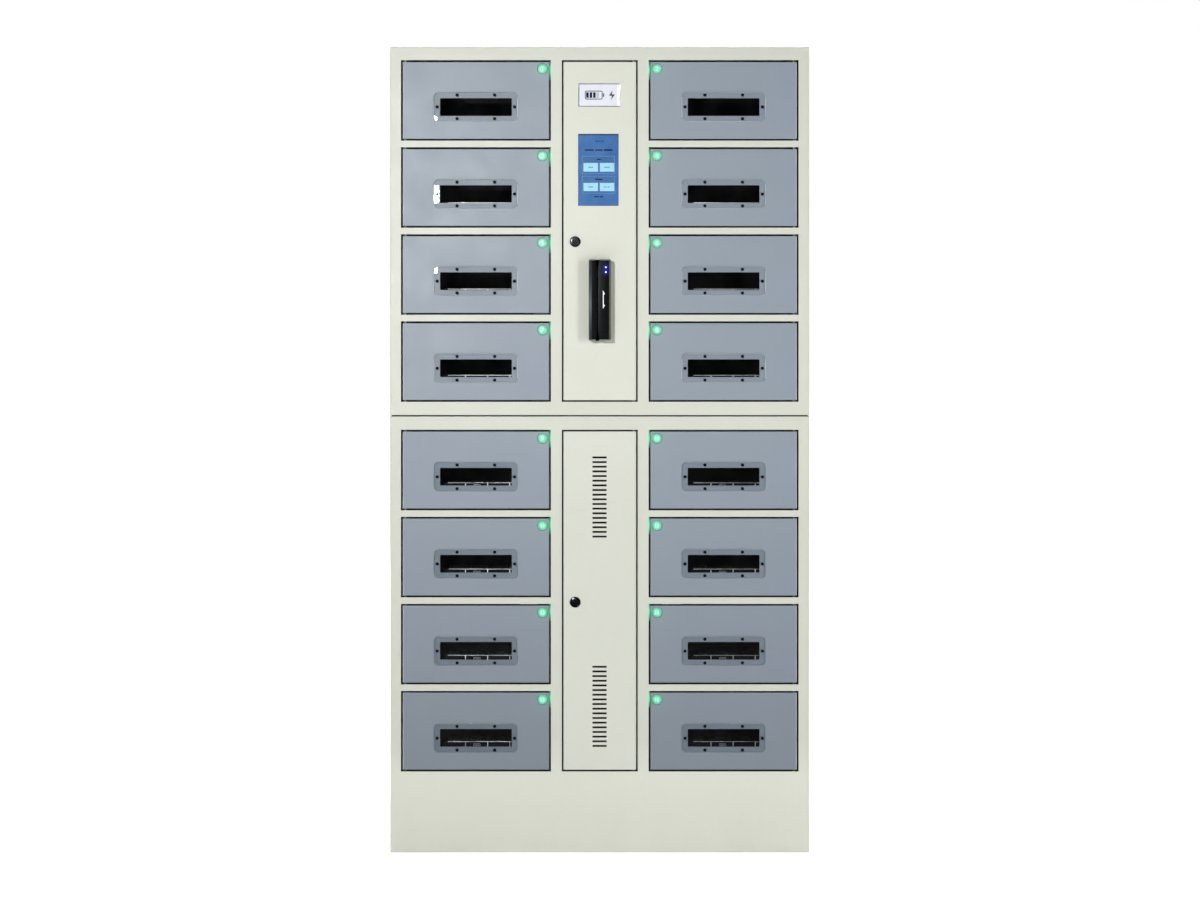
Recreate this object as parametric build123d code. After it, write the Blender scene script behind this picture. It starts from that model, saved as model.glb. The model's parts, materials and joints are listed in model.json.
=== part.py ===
from build123d import *
import os

# Sixteen-compartment device charging locker: an upper and a lower welded sheet-steel cabinet,
# bolted one on the other, each with two columns of four hinged doors beside a narrow service bay.
# Frame: millimetres, +Z up, front facing -Y, origin on the floor at the footprint's centre.
# side is -1 for the left column (-X) and +1 for the right; front, left and right are as seen
# by someone facing the doors.

os.makedirs("parts", exist_ok=True)

# ---------------------------------------------------------------- driving dimensions
WIDTH, DEPTH, HEIGHT = 900.0, 450.0, 1730.0
JOINT_Z = 938.0           # plane where the upper cabinet stands on the lower one
SEAM = 1.1                # each face frame stops this far short of that plane

SHEET = 1.2               # carcass sheet
FACE_T = 1.5              # face frame and door sheet
BASE_T = 1.5              # base panel sheet
REAR_T = 1.5              # rear panel sheet

FRONT, REAR = -DEPTH / 2, DEPTH / 2
REAR_SEAT = REAR - REAR_T         # plane the rear panels lie against
LEDGE_FRONT = REAR_SEAT - SHEET   # front of the strips they screw to
FRAME_RETURN = 20.0       # depth of the face frame's outer returns
FLANGE = 23.0             # depth of the flange round each opening, from the front plane
FLANGE_END = FRONT + FLANGE

EDGE = 23.0               # face width of the outer uprights
OPEN_W, OPEN_H = 322.0, 173.0     # compartment opening
RAIL = 14.0               # rail between two openings
BAY_W = 163.0             # service bay opening
BAY_X = BAY_W / 2
OPEN_OUT = WIDTH / 2 - EDGE       # outer and inner edges of a compartment opening
OPEN_IN = OPEN_OUT - OPEN_W
OPEN_CX = (OPEN_IN + OPEN_OUT) / 2
WALL_IN = 92.65           # bay wall faces, towards the bay and towards the compartments
WALL_OUT = WALL_IN + SHEET

# Top edge of each row of openings, and bottom and top of each bay opening, upper cabinet first
UPPER_ROWS, LOWER_ROWS = [[first - (OPEN_H + RAIL) * i for i in range(4)]
                          for first in (1702.0, 908.0)]
ROWS = UPPER_ROWS + LOWER_ROWS
BAYS = [(rows[-1] - OPEN_H, rows[0]) for rows in (UPPER_ROWS, LOWER_ROWS)]

GAP = 3.5                 # round each compartment door
BAY_GAP = 3.2             # round each service door
PIVOT_IN = 5.5            # pivot axis from the door's edge, and from its front face
PIVOT_Y = FRONT + PIVOT_IN
PIVOT_X = OPEN_OUT - GAP - PIVOT_IN
BAY_PIVOT_X = BAY_X - BAY_GAP - PIVOT_IN
PIN_R = 2.0

WINDOW_DROP = 100.8       # sight opening centre below the top edge of the opening
# x, z of each window screw from the window's centre
WINDOW_SCREWS = [(-40.3, 25.4), (40.3, 25.4), (-40.3, -25.4), (40.3, -25.4),
                 (-83.0, 0.0), (83.0, 0.0)]
WINDOW_SCREW_R = 1.5

LAMP_IN, LAMP_DROP = 18.0, 18.6   # lamp centre from the opening's inner and top edges
TONGUE_IN = 16.0                  # latch tongue centre from the opening's inner edge
LOCK_X = -52.8                    # cam lock axes
UPPER_LOCK_Z, LOCK_DROP_Z = 1312.0, 538.0
LOCK_BODY_R = 9.0
READER_ZC = 1186.0
READER_STUD_Z = 62.0              # card reader studs above and below its centre
PASS_X, PASS_Y = 78.0, -170.0     # wiring trunk axes
LEAD_UP = 14.0                    # lead above its compartment's floor

SIDES = (-1, 1)
FACE_CUT = (FRONT - 1, FRONT + FACE_T + 1)    # y range of a cut through a front sheet
REAR_CUT = (REAR_SEAT - 1, REAR + 1)          # y range of a cut through a rear panel


# ---------------------------------------------------------------- shape helpers
def block(x_from, x_to, y_from, y_to, z_from, z_to):
    centre = Pos((x_from + x_to) / 2, (y_from + y_to) / 2, (z_from + z_to) / 2)
    return centre * Box(abs(x_to - x_from), abs(y_to - y_from), abs(z_to - z_from))


def rod_z(x, y, z_from, z_to, radius):
    return Pos(x, y, (z_from + z_to) / 2) * Cylinder(radius, abs(z_to - z_from))


def rod_y(x, z, y_from, y_to, radius):
    return Pos(x, (y_from + y_to) / 2, z) * Rot(90, 0, 0) * Cylinder(radius, abs(y_to - y_from))


def rod_x(y, z, x_from, x_to, radius):
    return Pos((x_from + x_to) / 2, y, z) * Rot(0, 90, 0) * Cylinder(radius, abs(x_to - x_from))


def hexagon(across_flats, height):
    return extrude(RegularPolygon(across_flats / 2, 6, major_radius=False), amount=height)


def hex_y(x, z, y_from, y_to, across_flats):
    return Pos(x, max(y_from, y_to), z) * Rot(90, 0, 0) * hexagon(across_flats, abs(y_to - y_from))


def slab(width, height, radius, y_from, y_to, x, z):
    """Rounded rectangle in the XZ plane, from y_from to y_to."""
    body = extrude(RectangleRounded(width, height, radius), amount=abs(y_to - y_from))
    return Pos(x, max(y_from, y_to), z) * Rot(90, 0, 0) * body


def edges_at_y(shape, y, tol=0.01):
    """Edges lying wholly in the plane at y."""
    found = []
    for edge in shape.edges():
        box = edge.bounding_box()
        if abs(box.min.Y - y) < tol and abs(box.max.Y - y) < tol:
            found.append(edge)
    return found


def fillet_along(shape, axis, radius):
    return fillet(shape.edges().filter_by(axis), radius)


def save(shapes, name):
    if not isinstance(shapes, (list, tuple)):
        shapes = [shapes]
    solids = []
    for shape in shapes:
        solids += list(shape.solids())
    if len(solids) == 1:
        out = solids[0]
    else:
        out = Compound(children=[Solid(solid.wrapped) for solid in solids])
    export_step(out, f"parts/{name}.step")


# ---------------------------------------------------------------- face frames
LIP = 10.0                # width of the door-stop lip on each upright
FRAME_PIN_R = PIN_R + 0.02


def face_frame(z_bottom, z_top, rows):
    """Folded uprights and rails, welded edge to edge: two outer uprights, two bay uprights,
    a short rail between each two compartment openings, a top rail and a bottom rail."""
    open_top, open_bottom = rows[0], rows[-1] - OPEN_H
    outer = block(-WIDTH / 2, WIDTH / 2, FRONT, FRONT + FRAME_RETURN, z_bottom, z_top)
    outer = fillet(edges_at_y(outer, FRONT), 2.0)
    frame = outer - block(-WIDTH / 2 + FACE_T, WIDTH / 2 - FACE_T, FRONT + FACE_T,
                          FRONT + FRAME_RETURN, z_bottom + FACE_T, z_top - FACE_T)

    # left, right, bottom and top of each opening, and its pivot x
    openings = [(-BAY_X, BAY_X, open_bottom, open_top, BAY_PIVOT_X)]
    for top in rows:
        openings.append((-OPEN_OUT, -OPEN_IN, top - OPEN_H, top, -PIVOT_X))
        openings.append((OPEN_IN, OPEN_OUT, top - OPEN_H, top, PIVOT_X))
    holes, tubes, lips, pins = [], [], [], []
    for left, right, bottom, top, pivot in openings:
        holes.append(block(left, right, FRONT - 1, FRONT + 60, bottom, top))
        tubes.append(block(left - FACE_T, right + FACE_T, FRONT + FACE_T, FLANGE_END,
                           bottom - FACE_T, top + FACE_T))
        for x, inward in ((left, 1), (right, -1)):
            lip = block(x, x + inward * LIP, FLANGE_END - FACE_T, FLANGE_END, bottom, top)
            lips.append((x, lip))
        pins.append(rod_z(pivot, PIVOT_Y, bottom - FACE_T - 1, bottom + 1, FRAME_PIN_R))
        pins.append(rod_z(pivot, PIVOT_Y, top - 1, top + FACE_T + 1, FRAME_PIN_R))
    frame = frame.fuse(*tubes).cut(*holes)

    def member(x_from, x_to, z_from, z_to):
        return frame & block(x_from, x_to, FRONT - 1, FLANGE_END + 1, z_from, z_to)

    def lips_at(*places):
        return [lip for x, lip in lips if any(abs(x - place) < 0.01 for place in places)]

    members = []
    for side in SIDES:
        upright = member(side * OPEN_OUT, side * (WIDTH / 2 + 1), z_bottom - 1, z_top + 1)
        members.append(upright.fuse(*lips_at(side * OPEN_OUT)))
        upright = member(side * BAY_X, side * OPEN_IN, open_bottom, open_top)
        members.append(upright.fuse(*lips_at(side * OPEN_IN, side * BAY_X)))
        for top in rows[1:]:
            rail = member(side * OPEN_IN, side * OPEN_OUT, top, top + RAIL)
            members.append(rail.cut(*pins))
    members.append(member(-OPEN_OUT, OPEN_OUT, open_top, z_top + 1).cut(*pins))
    members.append(member(-OPEN_OUT, OPEN_OUT, z_bottom - 1, open_bottom).cut(*pins))
    return members


save(face_frame(JOINT_Z + SEAM, HEIGHT, UPPER_ROWS), "upper_face_frame")
save(face_frame(0.0, JOINT_Z - SEAM, LOWER_ROWS), "lower_face_frame")

# ---------------------------------------------------------------- carcasses
LEDGE_W = 16.0                    # strips inside the rear edge
BOLTS = [(-70.0, -100.0), (70.0, -100.0), (-70.0, 170.0), (70.0, 170.0)]    # x, y
ANCHOR_PITCH_X, ANCHOR_PITCH_Y, ANCHOR_R = 780.0, 330.0, 5.5
REAR_GAP = 0.4                    # round each rear panel
REAR_SCREW_PITCH, REAR_SCREW_COUNT = 176.0, 6
REAR_SCREW_X = 440.0              # screws beside the compartments
REAR_SCREW_IN = 10.0              # rows of screws from the panel's top and bottom


def carcass(z_bottom, z_top, base_t, top_holes, base_holes, screw_sites):
    """Side, base and top sheets, and the strips that the rear panel screws to."""
    inside_x = WIDTH / 2 - SHEET
    floor, ceiling = z_bottom + base_t, z_top - SHEET
    front = FRONT + FRAME_RETURN
    sheets = [block(side * inside_x, side * WIDTH / 2, front, REAR, z_bottom, z_top)
              for side in SIDES]
    base = block(-inside_x, inside_x, front, REAR, z_bottom, floor)
    sheets.append(base.cut(*base_holes))
    top = block(-inside_x, inside_x, front, REAR, ceiling, z_top)
    sheets.append(top.cut(*top_holes) if top_holes else top)

    ledge_x = inside_x - LEDGE_W
    ledges = [block(side * ledge_x, side * inside_x, LEDGE_FRONT, REAR_SEAT, floor, ceiling)
              for side in SIDES]
    for z_from, z_to in ((floor, floor + LEDGE_W), (ceiling - LEDGE_W, ceiling)):
        ledges.append(block(-ledge_x, ledge_x, LEDGE_FRONT, REAR_SEAT, z_from, z_to))
    holes = [rod_y(x, z, REAR_SEAT - 3, REAR_SEAT + 1, 2.05) for x, z in screw_sites]
    return sheets + [ledge.cut(*holes) for ledge in ledges]


def rear_screws(z_bottom, z_top, rows):
    """Six screws along the bottom, six along the top and one beside each compartment."""
    row_x = [REAR_SCREW_PITCH * (i - (REAR_SCREW_COUNT - 1) / 2) for i in range(REAR_SCREW_COUNT)]
    sites = [(x, z) for z in (z_bottom + REAR_SCREW_IN, z_top - REAR_SCREW_IN) for x in row_x]
    return sites + [(side * REAR_SCREW_X, top - OPEN_H / 2) for top in rows for side in SIDES]


UPPER_REAR = (JOINT_Z + SHEET + REAR_GAP, HEIGHT - SHEET - REAR_GAP)
LOWER_REAR = (BASE_T + REAR_GAP, JOINT_Z - SHEET - REAR_GAP)
UPPER_SITES = rear_screws(*UPPER_REAR, UPPER_ROWS)
LOWER_SITES = rear_screws(*LOWER_REAR, LOWER_ROWS)

joint_holes = [rod_z(x, y, JOINT_Z - 5, JOINT_Z + 5, 4.25) for x, y in BOLTS]
joint_holes += [rod_z(side * PASS_X, PASS_Y, JOINT_Z - 5, JOINT_Z + 5, 11.0) for side in SIDES]
anchor_holes = [rod_z(i * ANCHOR_PITCH_X / 2, j * ANCHOR_PITCH_Y / 2, -1, 3, ANCHOR_R)
                for i in SIDES for j in SIDES]
save(carcass(JOINT_Z, HEIGHT, SHEET, [], joint_holes, UPPER_SITES), "upper_carcass")
save(carcass(0.0, JOINT_Z, BASE_T, joint_holes, anchor_holes, LOWER_SITES), "lower_carcass")


# ---------------------------------------------------------------- bay walls
def bay_wall(side, z_bottom, z_top, rows):
    """Wall with a lead hole for each compartment and a notch at each front corner."""
    wall = block(side * WALL_IN, side * WALL_OUT, FRONT + 10, LEDGE_FRONT, z_bottom, z_top)
    cuts = [rod_x(PASS_Y, top - OPEN_H + LEAD_UP, side * 85, side * 100, 5.0) for top in rows]
    for z_from, z_to in ((z_bottom - 1, z_bottom + 3), (z_top - 3, z_top + 1)):
        cuts.append(block(side * 80, side * 120, FRONT, FLANGE_END, z_from, z_to))
    return wall.cut(*cuts)


walls = []
for side in SIDES:
    walls.append(bay_wall(side, JOINT_Z + SHEET, HEIGHT - SHEET, UPPER_ROWS))
    walls.append(bay_wall(side, BASE_T, JOINT_Z - SHEET, LOWER_ROWS))
save(walls, "bay_walls")

# ---------------------------------------------------------------- shelves and bay floor
SHELF_DROP = 12.0                 # shelf top to the lower edge of its turned-down lips


def shelf(x_from, x_to, z, lip_fronts):
    sheet = block(x_from, x_to, FLANGE_END, LEDGE_FRONT, z - SHEET, z)
    return sheet.fuse(*[block(x_from, x_to, y, y + SHEET, z - SHELF_DROP, z - SHEET)
                        for y in lip_fronts])


shelves = [shelf(side * WALL_OUT, side * (WIDTH / 2 - SHEET), top - OPEN_H,
                 (FLANGE_END, LEDGE_FRONT - SHEET))
           for top in ROWS for side in SIDES]
bay_floor = shelf(-WALL_IN, WALL_IN, BAYS[1][0], (FLANGE_END,))
shelves.append(bay_floor - block(-30, 30, 135, 165, 160, 180))
save(shelves, "compartment_shelves")

# ---------------------------------------------------------------- rear panels
SLOT_W, BAY_SLOT_W, SLOT_H, SLOT_R, SLOT_PITCH = 80.0, 60.0, 4.0, 1.9, 9.0
SLOT_X, SLOT_DROP = 157.0, 45.0   # first slot's centre from x = 0 and below the opening's top
INLET_X, INLET_Z = 0.0, 90.0


def rear_slots(width, x, z_first, count):
    return [slab(width, SLOT_H, SLOT_R, *REAR_CUT, x, z_first - SLOT_PITCH * i)
            for i in range(count)]


def rear_panel(z_bottom, z_top, rows, sites, bay_slot_tops, extra_cuts=()):
    half_width = WIDTH / 2 - SHEET - REAR_GAP
    panel = block(-half_width, half_width, REAR_SEAT, REAR, z_bottom, z_top)
    panel = fillet_along(panel, Axis.Y, 3.0)
    cuts = [rod_y(x, z, *REAR_CUT, 2.25) for x, z in sites]
    for top in rows:
        for side in SIDES:
            cuts += rear_slots(SLOT_W, side * SLOT_X, top - SLOT_DROP, 4)
    for z_first in bay_slot_tops:
        cuts += rear_slots(BAY_SLOT_W, 0.0, z_first, 12)
    return panel.cut(*cuts, *extra_cuts)


inlet_hole = slab(47.4, 59.4, 0.4, *REAR_CUT, INLET_X, INLET_Z)
save([rear_panel(*UPPER_REAR, UPPER_ROWS, UPPER_SITES, [1650.0]),
      rear_panel(*LOWER_REAR, LOWER_ROWS, LOWER_SITES, [600.0, 470.0], [inlet_hole])],
     "rear_panels")

# ---------------------------------------------------------------- cabinet fasteners
BOLT_FLATS, BOLT_HEAD_T, NUT_T = 13.0, 5.5, 6.5
CROSS_HALF, CROSS_HALF_T = 2.4, 0.45    # cross recess in a rear screw


def rear_screw(x, z):
    head_end = REAR + 2.4
    head = fillet(edges_at_y(rod_y(x, z, REAR, head_end, 4.0), head_end), 1.2)
    screw = head.fuse(rod_y(x, z, REAR - 11, REAR, 2.0))
    arms = [block(x - half_x, x + half_x, REAR + 1.2, REAR + 3, z - half_z, z + half_z)
            for half_x, half_z in ((CROSS_HALF, CROSS_HALF_T), (CROSS_HALF_T, CROSS_HALF))]
    return screw - arms[0].fuse(arms[1])


fasteners = [rear_screw(x, z) for x, z in UPPER_SITES + LOWER_SITES]
for x, y in BOLTS:
    head = Pos(x, y, JOINT_Z - SHEET - BOLT_HEAD_T) * hexagon(BOLT_FLATS, BOLT_HEAD_T)
    fasteners.append(head.fuse(rod_z(x, y, JOINT_Z - SHEET, JOINT_Z + 14, 4.0)))
    nut = Pos(x, y, JOINT_Z + SHEET) * hexagon(BOLT_FLATS, NUT_T)
    fasteners.append(nut - rod_z(x, y, JOINT_Z, JOINT_Z + 20, 4.05))
save(fasteners, "cabinet_fasteners")

# ---------------------------------------------------------------- hinge pins
SHOULDER_R = 3.1


def pin_pair(x, z_bottom, z_top, gap):
    """Shouldered pins above and below a door, in the flanges of its opening."""
    pair = []
    for z, up in ((z_top, 1), (z_bottom, -1)):
        shoulder = rod_z(x, PIVOT_Y, z, z - up * (gap - 0.1), SHOULDER_R)
        pair.append(shoulder.fuse(
            rod_z(x, PIVOT_Y, z + up * 6.0, z - up * (gap + 4.5), PIN_R)))
    return pair


pins = []
for top in ROWS:
    for side in SIDES:
        pins += pin_pair(side * PIVOT_X, top - OPEN_H, top, GAP)
for z_bottom, z_top in BAYS:
    pins += pin_pair(BAY_PIVOT_X, z_bottom, z_top, BAY_GAP)
save(pins, "hinge_pins")

# ---------------------------------------------------------------- compartment doors and windows
DOOR_D = 18.0                     # depth of a door pan
PIN_HOLE_R = 2.08
SIGHT_W, SIGHT_H = 154.0, 38.0    # sight opening
PANE_W, PANE_H, PANE_T, PANE_R = 180.0, 63.0, 3.0, 10.0
SCREW_HEAD_R, SCREW_HEAD_T = 3.0, 1.8
LAMP_HOLE_R = 11.6
TONGUE_T, TONGUE_H, TONGUE_REACH = 3.0, 20.0, 42.0


def door_pan(x_from, x_to, z_from, z_to):
    pan = block(x_from, x_to, FRONT, FRONT + DOOR_D, z_from, z_to)
    pan = fillet(edges_at_y(pan, FRONT), 1.8)
    return pan - block(x_from + FACE_T, x_to - FACE_T, FRONT + FACE_T, FRONT + DOOR_D + 1,
                       z_from + FACE_T, z_to - FACE_T)


def pivot_holes(x, z_bottom, z_top):
    return [rod_z(x, PIVOT_Y, z_bottom - 1, z_bottom + FACE_T + 1, PIN_HOLE_R),
            rod_z(x, PIVOT_Y, z_top - FACE_T - 1, z_top + 1, PIN_HOLE_R)]


def door(side, top):
    """Pan pivoted at its outer edge, and the latch tongue behind its inner edge."""
    left, right = sorted((side * (OPEN_OUT - GAP), side * (OPEN_IN + GAP)))
    z_bottom, z_top = top - OPEN_H + GAP, top - GAP
    cx, cz = side * OPEN_CX, top - WINDOW_DROP
    cuts = [slab(SIGHT_W, SIGHT_H, 1.5, *FACE_CUT, cx, cz)]
    cuts += [rod_y(cx + x, cz + z, *FACE_CUT, WINDOW_SCREW_R + 0.1) for x, z in WINDOW_SCREWS]
    cuts.append(rod_y(side * (OPEN_IN + LAMP_IN), top - LAMP_DROP, *FACE_CUT, LAMP_HOLE_R))
    cuts += pivot_holes(side * PIVOT_X, z_bottom, z_top)
    pan = door_pan(left, right, z_bottom, z_top).cut(*cuts)

    x, z = side * (OPEN_IN + TONGUE_IN), top - OPEN_H / 2
    half_t, half_h = TONGUE_T / 2, TONGUE_H / 2
    back = FRONT + FACE_T
    tongue = block(x - half_t, x + half_t, back, FRONT + TONGUE_REACH, z - half_h, z + half_h)
    foot = block(x - side * half_t, x + side * 14.0, back, back + FACE_T, z - half_h, z + half_h)
    eye = block(x - 5, x + 5, FRONT + 31.0, FRONT + 38.0, z - 5, z + 5)
    return [pan, tongue.fuse(foot) - eye]


def window(side, top):
    """Pane on the front of the door, with its screws and nuts."""
    cx, cz = side * OPEN_CX, top - WINDOW_DROP
    pane_front = FRONT - PANE_T
    head_front = pane_front - SCREW_HEAD_T
    sites = [(cx + x, cz + z) for x, z in WINDOW_SCREWS]
    pane = slab(PANE_W, PANE_H, PANE_R, pane_front, FRONT, cx, cz)
    pane = chamfer(edges_at_y(pane, pane_front), 0.6)
    pane = pane.cut(*[rod_y(x, z, pane_front - 1, FRONT + 1, WINDOW_SCREW_R + 0.1)
                      for x, z in sites])
    pieces = [pane]
    for x, z in sites:
        head = rod_y(x, z, head_front, pane_front, SCREW_HEAD_R)
        head = fillet(edges_at_y(head, head_front), 0.9)
        head = head - hex_y(x, z, head_front - 1, pane_front - 0.7, 2.0)
        pieces.append(head.fuse(rod_y(x, z, pane_front, FRONT + 5.5, WINDOW_SCREW_R)))
        nut = hex_y(x, z, FRONT + FACE_T, FRONT + FACE_T + 2.4, 5.5)
        pieces.append(nut - rod_y(x, z, FRONT, FRONT + 6, WINDOW_SCREW_R + 0.02))
    return pieces


# Doors are numbered left to right, then downwards; each is a copy of the one in the top row.
for column, side in enumerate(SIDES, start=1):
    for kind, pieces in (("door", door(side, ROWS[0])), ("window", window(side, ROWS[0]))):
        for row, top in enumerate(ROWS):
            shift = Pos(0, 0, top - ROWS[0])
            save([shift * piece for piece in pieces], f"{kind}_{2 * row + column:02d}")

# ---------------------------------------------------------------- fittings in each compartment
STRIP_W, STRIP_D, STRIP_H = 196.0, 50.0, 56.0
STRIP_Y = FRONT + 31.0            # front of a charging strip
STRIP_IN = 184.0                  # strip centre from its opening's left edge, in both columns
SOCKET, SOCKET_WELL, SOCKET_PITCH = 45.0, 45.2, 48.0
SOCKET_SINK, SOCKET_RISE = 12.0, 1.2    # socket below and above the strip's top
LAMP_R = 10.8
LIP_FRONT = FLANGE_END - FACE_T   # front of the door-stop lips


def strip_centre(side):
    return min(side * OPEN_IN, side * OPEN_OUT) + STRIP_IN


def electric_lock(side, zc):
    body = block(side * WALL_OUT, side * (OPEN_IN + 23.0),
                 FLANGE_END + 0.8, FLANGE_END + 52.0, zc - 32, zc + 32)
    body = fillet_along(body, Axis.Y, 3.0)
    x = side * (OPEN_IN + TONGUE_IN)
    return body - block(x - side * 4.8, x + side * 3.5,
                        FLANGE_END - 1, FLANGE_END + 30.0, zc - 12.5, zc + 12.5)


def lamp_board(side, top):
    """Board on the front of the lip, with a cup round the back of the lens."""
    x, z = side * (OPEN_IN + LAMP_IN), top - LAMP_DROP
    board_front = LIP_FRONT - 1.6
    board = block(side * (OPEN_IN + 0.6), side * (OPEN_IN + 30.0),
                  board_front, LIP_FRONT, top - 37.0, top - 2.0)
    cup = rod_y(x, z, FRONT + 8.0, board_front, 12.0)
    return board.fuse(cup - rod_y(x, z, FRONT + 7.0, FRONT + 16.0, 9.6))


def lamp_lens(side, top):
    x, z = side * (OPEN_IN + LAMP_IN), top - LAMP_DROP
    lens = rod_y(x, z, FRONT - 0.6, FRONT + 8.0, LAMP_R)
    lens = fillet(edges_at_y(lens, FRONT - 0.6), 0.8)
    return lens.fuse(rod_y(x, z, FRONT + 8.0, FRONT + 12.0, 9.5))


def bumper(side, z):
    pad = rod_y(side * (OPEN_IN + 4.3), z, LIP_FRONT - 3.0, LIP_FRONT, 3.6)
    return chamfer(edges_at_y(pad, LIP_FRONT - 3.0), 0.6)


def socket_centres(side):
    return [strip_centre(side) + i * SOCKET_PITCH for i in (-1.5, -0.5, 0.5, 1.5)]


def charging_strip(side, z):
    cx, z_top = strip_centre(side), z + STRIP_H
    strip = block(cx - STRIP_W / 2, cx + STRIP_W / 2, STRIP_Y, STRIP_Y + STRIP_D, z, z_top)
    top_edges = [edge for edge in strip.edges().filter_by(Axis.X) if edge.center().Z > z + 1]
    strip = fillet(top_edges, 2.0)
    half = SOCKET_WELL / 2
    cy = STRIP_Y + STRIP_D / 2
    return strip.cut(*[block(x - half, x + half, cy - half, cy + half,
                             z_top - SOCKET_SINK, z_top + 1) for x in socket_centres(side)])


def socket_module(x, strip_top):
    """Socket with one wide opening and, in front of it, two narrow ones."""
    half = SOCKET / 2
    cy = STRIP_Y + STRIP_D / 2
    z_top = strip_top + SOCKET_RISE
    body = block(x - half, x + half, cy - half, cy + half, strip_top - SOCKET_SINK, z_top)
    top_edges = [edge for edge in body.edges() if abs(edge.center().Z - z_top) < 0.01]
    body = chamfer(top_edges, 0.5)
    wide = block(x - 14.0, x + 14.0, STRIP_Y + 20.0, STRIP_Y + 42.0, strip_top - 5, strip_top + 2)
    narrow = [block(x + x_from, x + x_to, STRIP_Y + 9.0, STRIP_Y + 14.2,
                    strip_top - 6, strip_top + 2)
              for x_from, x_to in ((-14.0, -1.5), (1.5, 14.0))]
    return body.cut(fillet_along(wide, Axis.Z, 4.0), *narrow)


places = [(side, top) for top in ROWS for side in SIDES]
save([electric_lock(side, top - OPEN_H / 2) for side, top in places], "electric_locks")
save([lamp_board(side, top) for side, top in places], "lamp_boards")
save([lamp_lens(side, top) for side, top in places], "lamp_lenses")
save([bumper(side, top - OPEN_H / 2 + rise) for side, top in places for rise in (34.0, -66.0)],
     "door_bumpers")
save([charging_strip(side, top - OPEN_H) for side, top in places], "charging_strips")
save([socket_module(x, top - OPEN_H + STRIP_H)
      for side, top in places for x in socket_centres(side)], "socket_modules")

# ---------------------------------------------------------------- wiring
# One trunk up each side of the bay, with a lead to each strip
harness = []
for side in SIDES:
    trunk = rod_z(side * PASS_X, PASS_Y, 190.0, 1690.0, 8.0)
    lead_end = strip_centre(side) - side * STRIP_W / 2
    leads = [rod_x(PASS_Y, top - OPEN_H + LEAD_UP, side * PASS_X, lead_end, 3.0) for top in ROWS]
    harness.append(trunk.fuse(*leads))
save(harness, "wiring_harness")


# ---------------------------------------------------------------- electronics in the bay
def power_supply(side, z):
    """Case on the bay wall, cut away at the top on the side facing the bay."""
    case = block(side * (WALL_IN - 34.0), side * (WALL_IN - 0.1), -40.0, 75.0, z, z + 215.0)
    case = fillet_along(case, Axis.Z, 1.5)
    return case - block(side * (WALL_IN - 40.0), side * (WALL_IN - 12.0),
                        -45.0, 80.0, z + 195.0, z + 220.0)


save([power_supply(side, z) for side in SIDES for z in (225.0, 480.0)], "power_supplies")

controller_x = -WALL_IN + 38.0    # controller face towards the bay
controller = block(-WALL_IN + 0.1, controller_x, -20.0, 110.0, 1380.0, 1580.0)
controller = fillet([edge for edge in controller.edges()
                     if abs(edge.center().X - controller_x) < 0.01], 3.0)
save(controller, "lock_controller")

# ---------------------------------------------------------------- mains inlet with switch
BLADES = [(-7, -1.5), (0, 2.5), (7, -1.5)]    # x, z from the socket's centre
socket_z, switch_z = INLET_Z - 15.0, INLET_Z + 15.0
inlet = slab(52.0, 66.0, 3.0, REAR, REAR + 2.5, INLET_X, INLET_Z)
inlet = inlet.fuse(block(INLET_X - 23.5, INLET_X + 23.5, REAR - 32.0, REAR,
                         INLET_Z - 29.5, INLET_Z + 29.5))
inlet = inlet - slab(26.0, 18.0, 4.0, REAR - 16.0, REAR + 5, INLET_X, socket_z)
inlet = inlet - slab(22.0, 15.0, 1.0, REAR - 2.0, REAR + 5, INLET_X, switch_z)
blades = [block(INLET_X + x - 1, INLET_X + x + 1, REAR - 16.5, REAR - 3.0,
                socket_z + z - 2, socket_z + z + 2) for x, z in BLADES]
save(inlet.fuse(*blades), "mains_inlet")

# ---------------------------------------------------------------- service doors
SCREEN_X, SCREEN_ZC, SCREEN_W, SCREEN_H = -3.0, 1466.4, 86.4, 154.0
VENT_W, VENT_H, VENT_PITCH, VENT_COUNT = 30.0, 3.4, 10.0, 18


def service_door(z_low, z_high, lock_z, cuts):
    half_width = BAY_X - BAY_GAP
    z_bottom, z_top = z_low + BAY_GAP, z_high - BAY_GAP
    pan = door_pan(-half_width, half_width, z_bottom, z_top)
    lock_hole = rod_y(LOCK_X, lock_z, *FACE_CUT, LOCK_BODY_R + 0.1)
    return pan.cut(*pivot_holes(BAY_PIVOT_X, z_bottom, z_top), lock_hole, *cuts)


cuts = [slab(SCREEN_W + 0.8, SCREEN_H + 0.8, 1.0, *FACE_CUT, SCREEN_X, SCREEN_ZC),
        rod_y(0.0, READER_ZC, *FACE_CUT, 8.0)]
cuts += [rod_y(0.0, READER_ZC + i * READER_STUD_Z, *FACE_CUT, 2.1) for i in SIDES]
save(service_door(*BAYS[0], UPPER_LOCK_Z, cuts), "upper_service_door")

cuts = [slab(VENT_W, VENT_H, 1.2, *FACE_CUT, -0.5, z_first - VENT_PITCH * i)
        for z_first in (848.6, 398.9) for i in range(VENT_COUNT)]
save(service_door(*BAYS[1], LOCK_DROP_Z, cuts), "lower_service_door")

# ---------------------------------------------------------------- touchscreen and name plate
back = FRONT + FACE_T
glass = slab(SCREEN_W, SCREEN_H, 0.8, FRONT + 0.7, back, SCREEN_X, SCREEN_ZC)
module = block(SCREEN_X - 50.0, SCREEN_X + 50.0, back, back + 9.0,
               SCREEN_ZC - 84.0, SCREEN_ZC + 84.0)
computer = block(SCREEN_X - 40.0, SCREEN_X + 40.0, back + 9.0, back + 27.0,
                 SCREEN_ZC - 60.0, SCREEN_ZC + 60.0)
save(glass.fuse(module, computer), "touchscreen")

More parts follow.
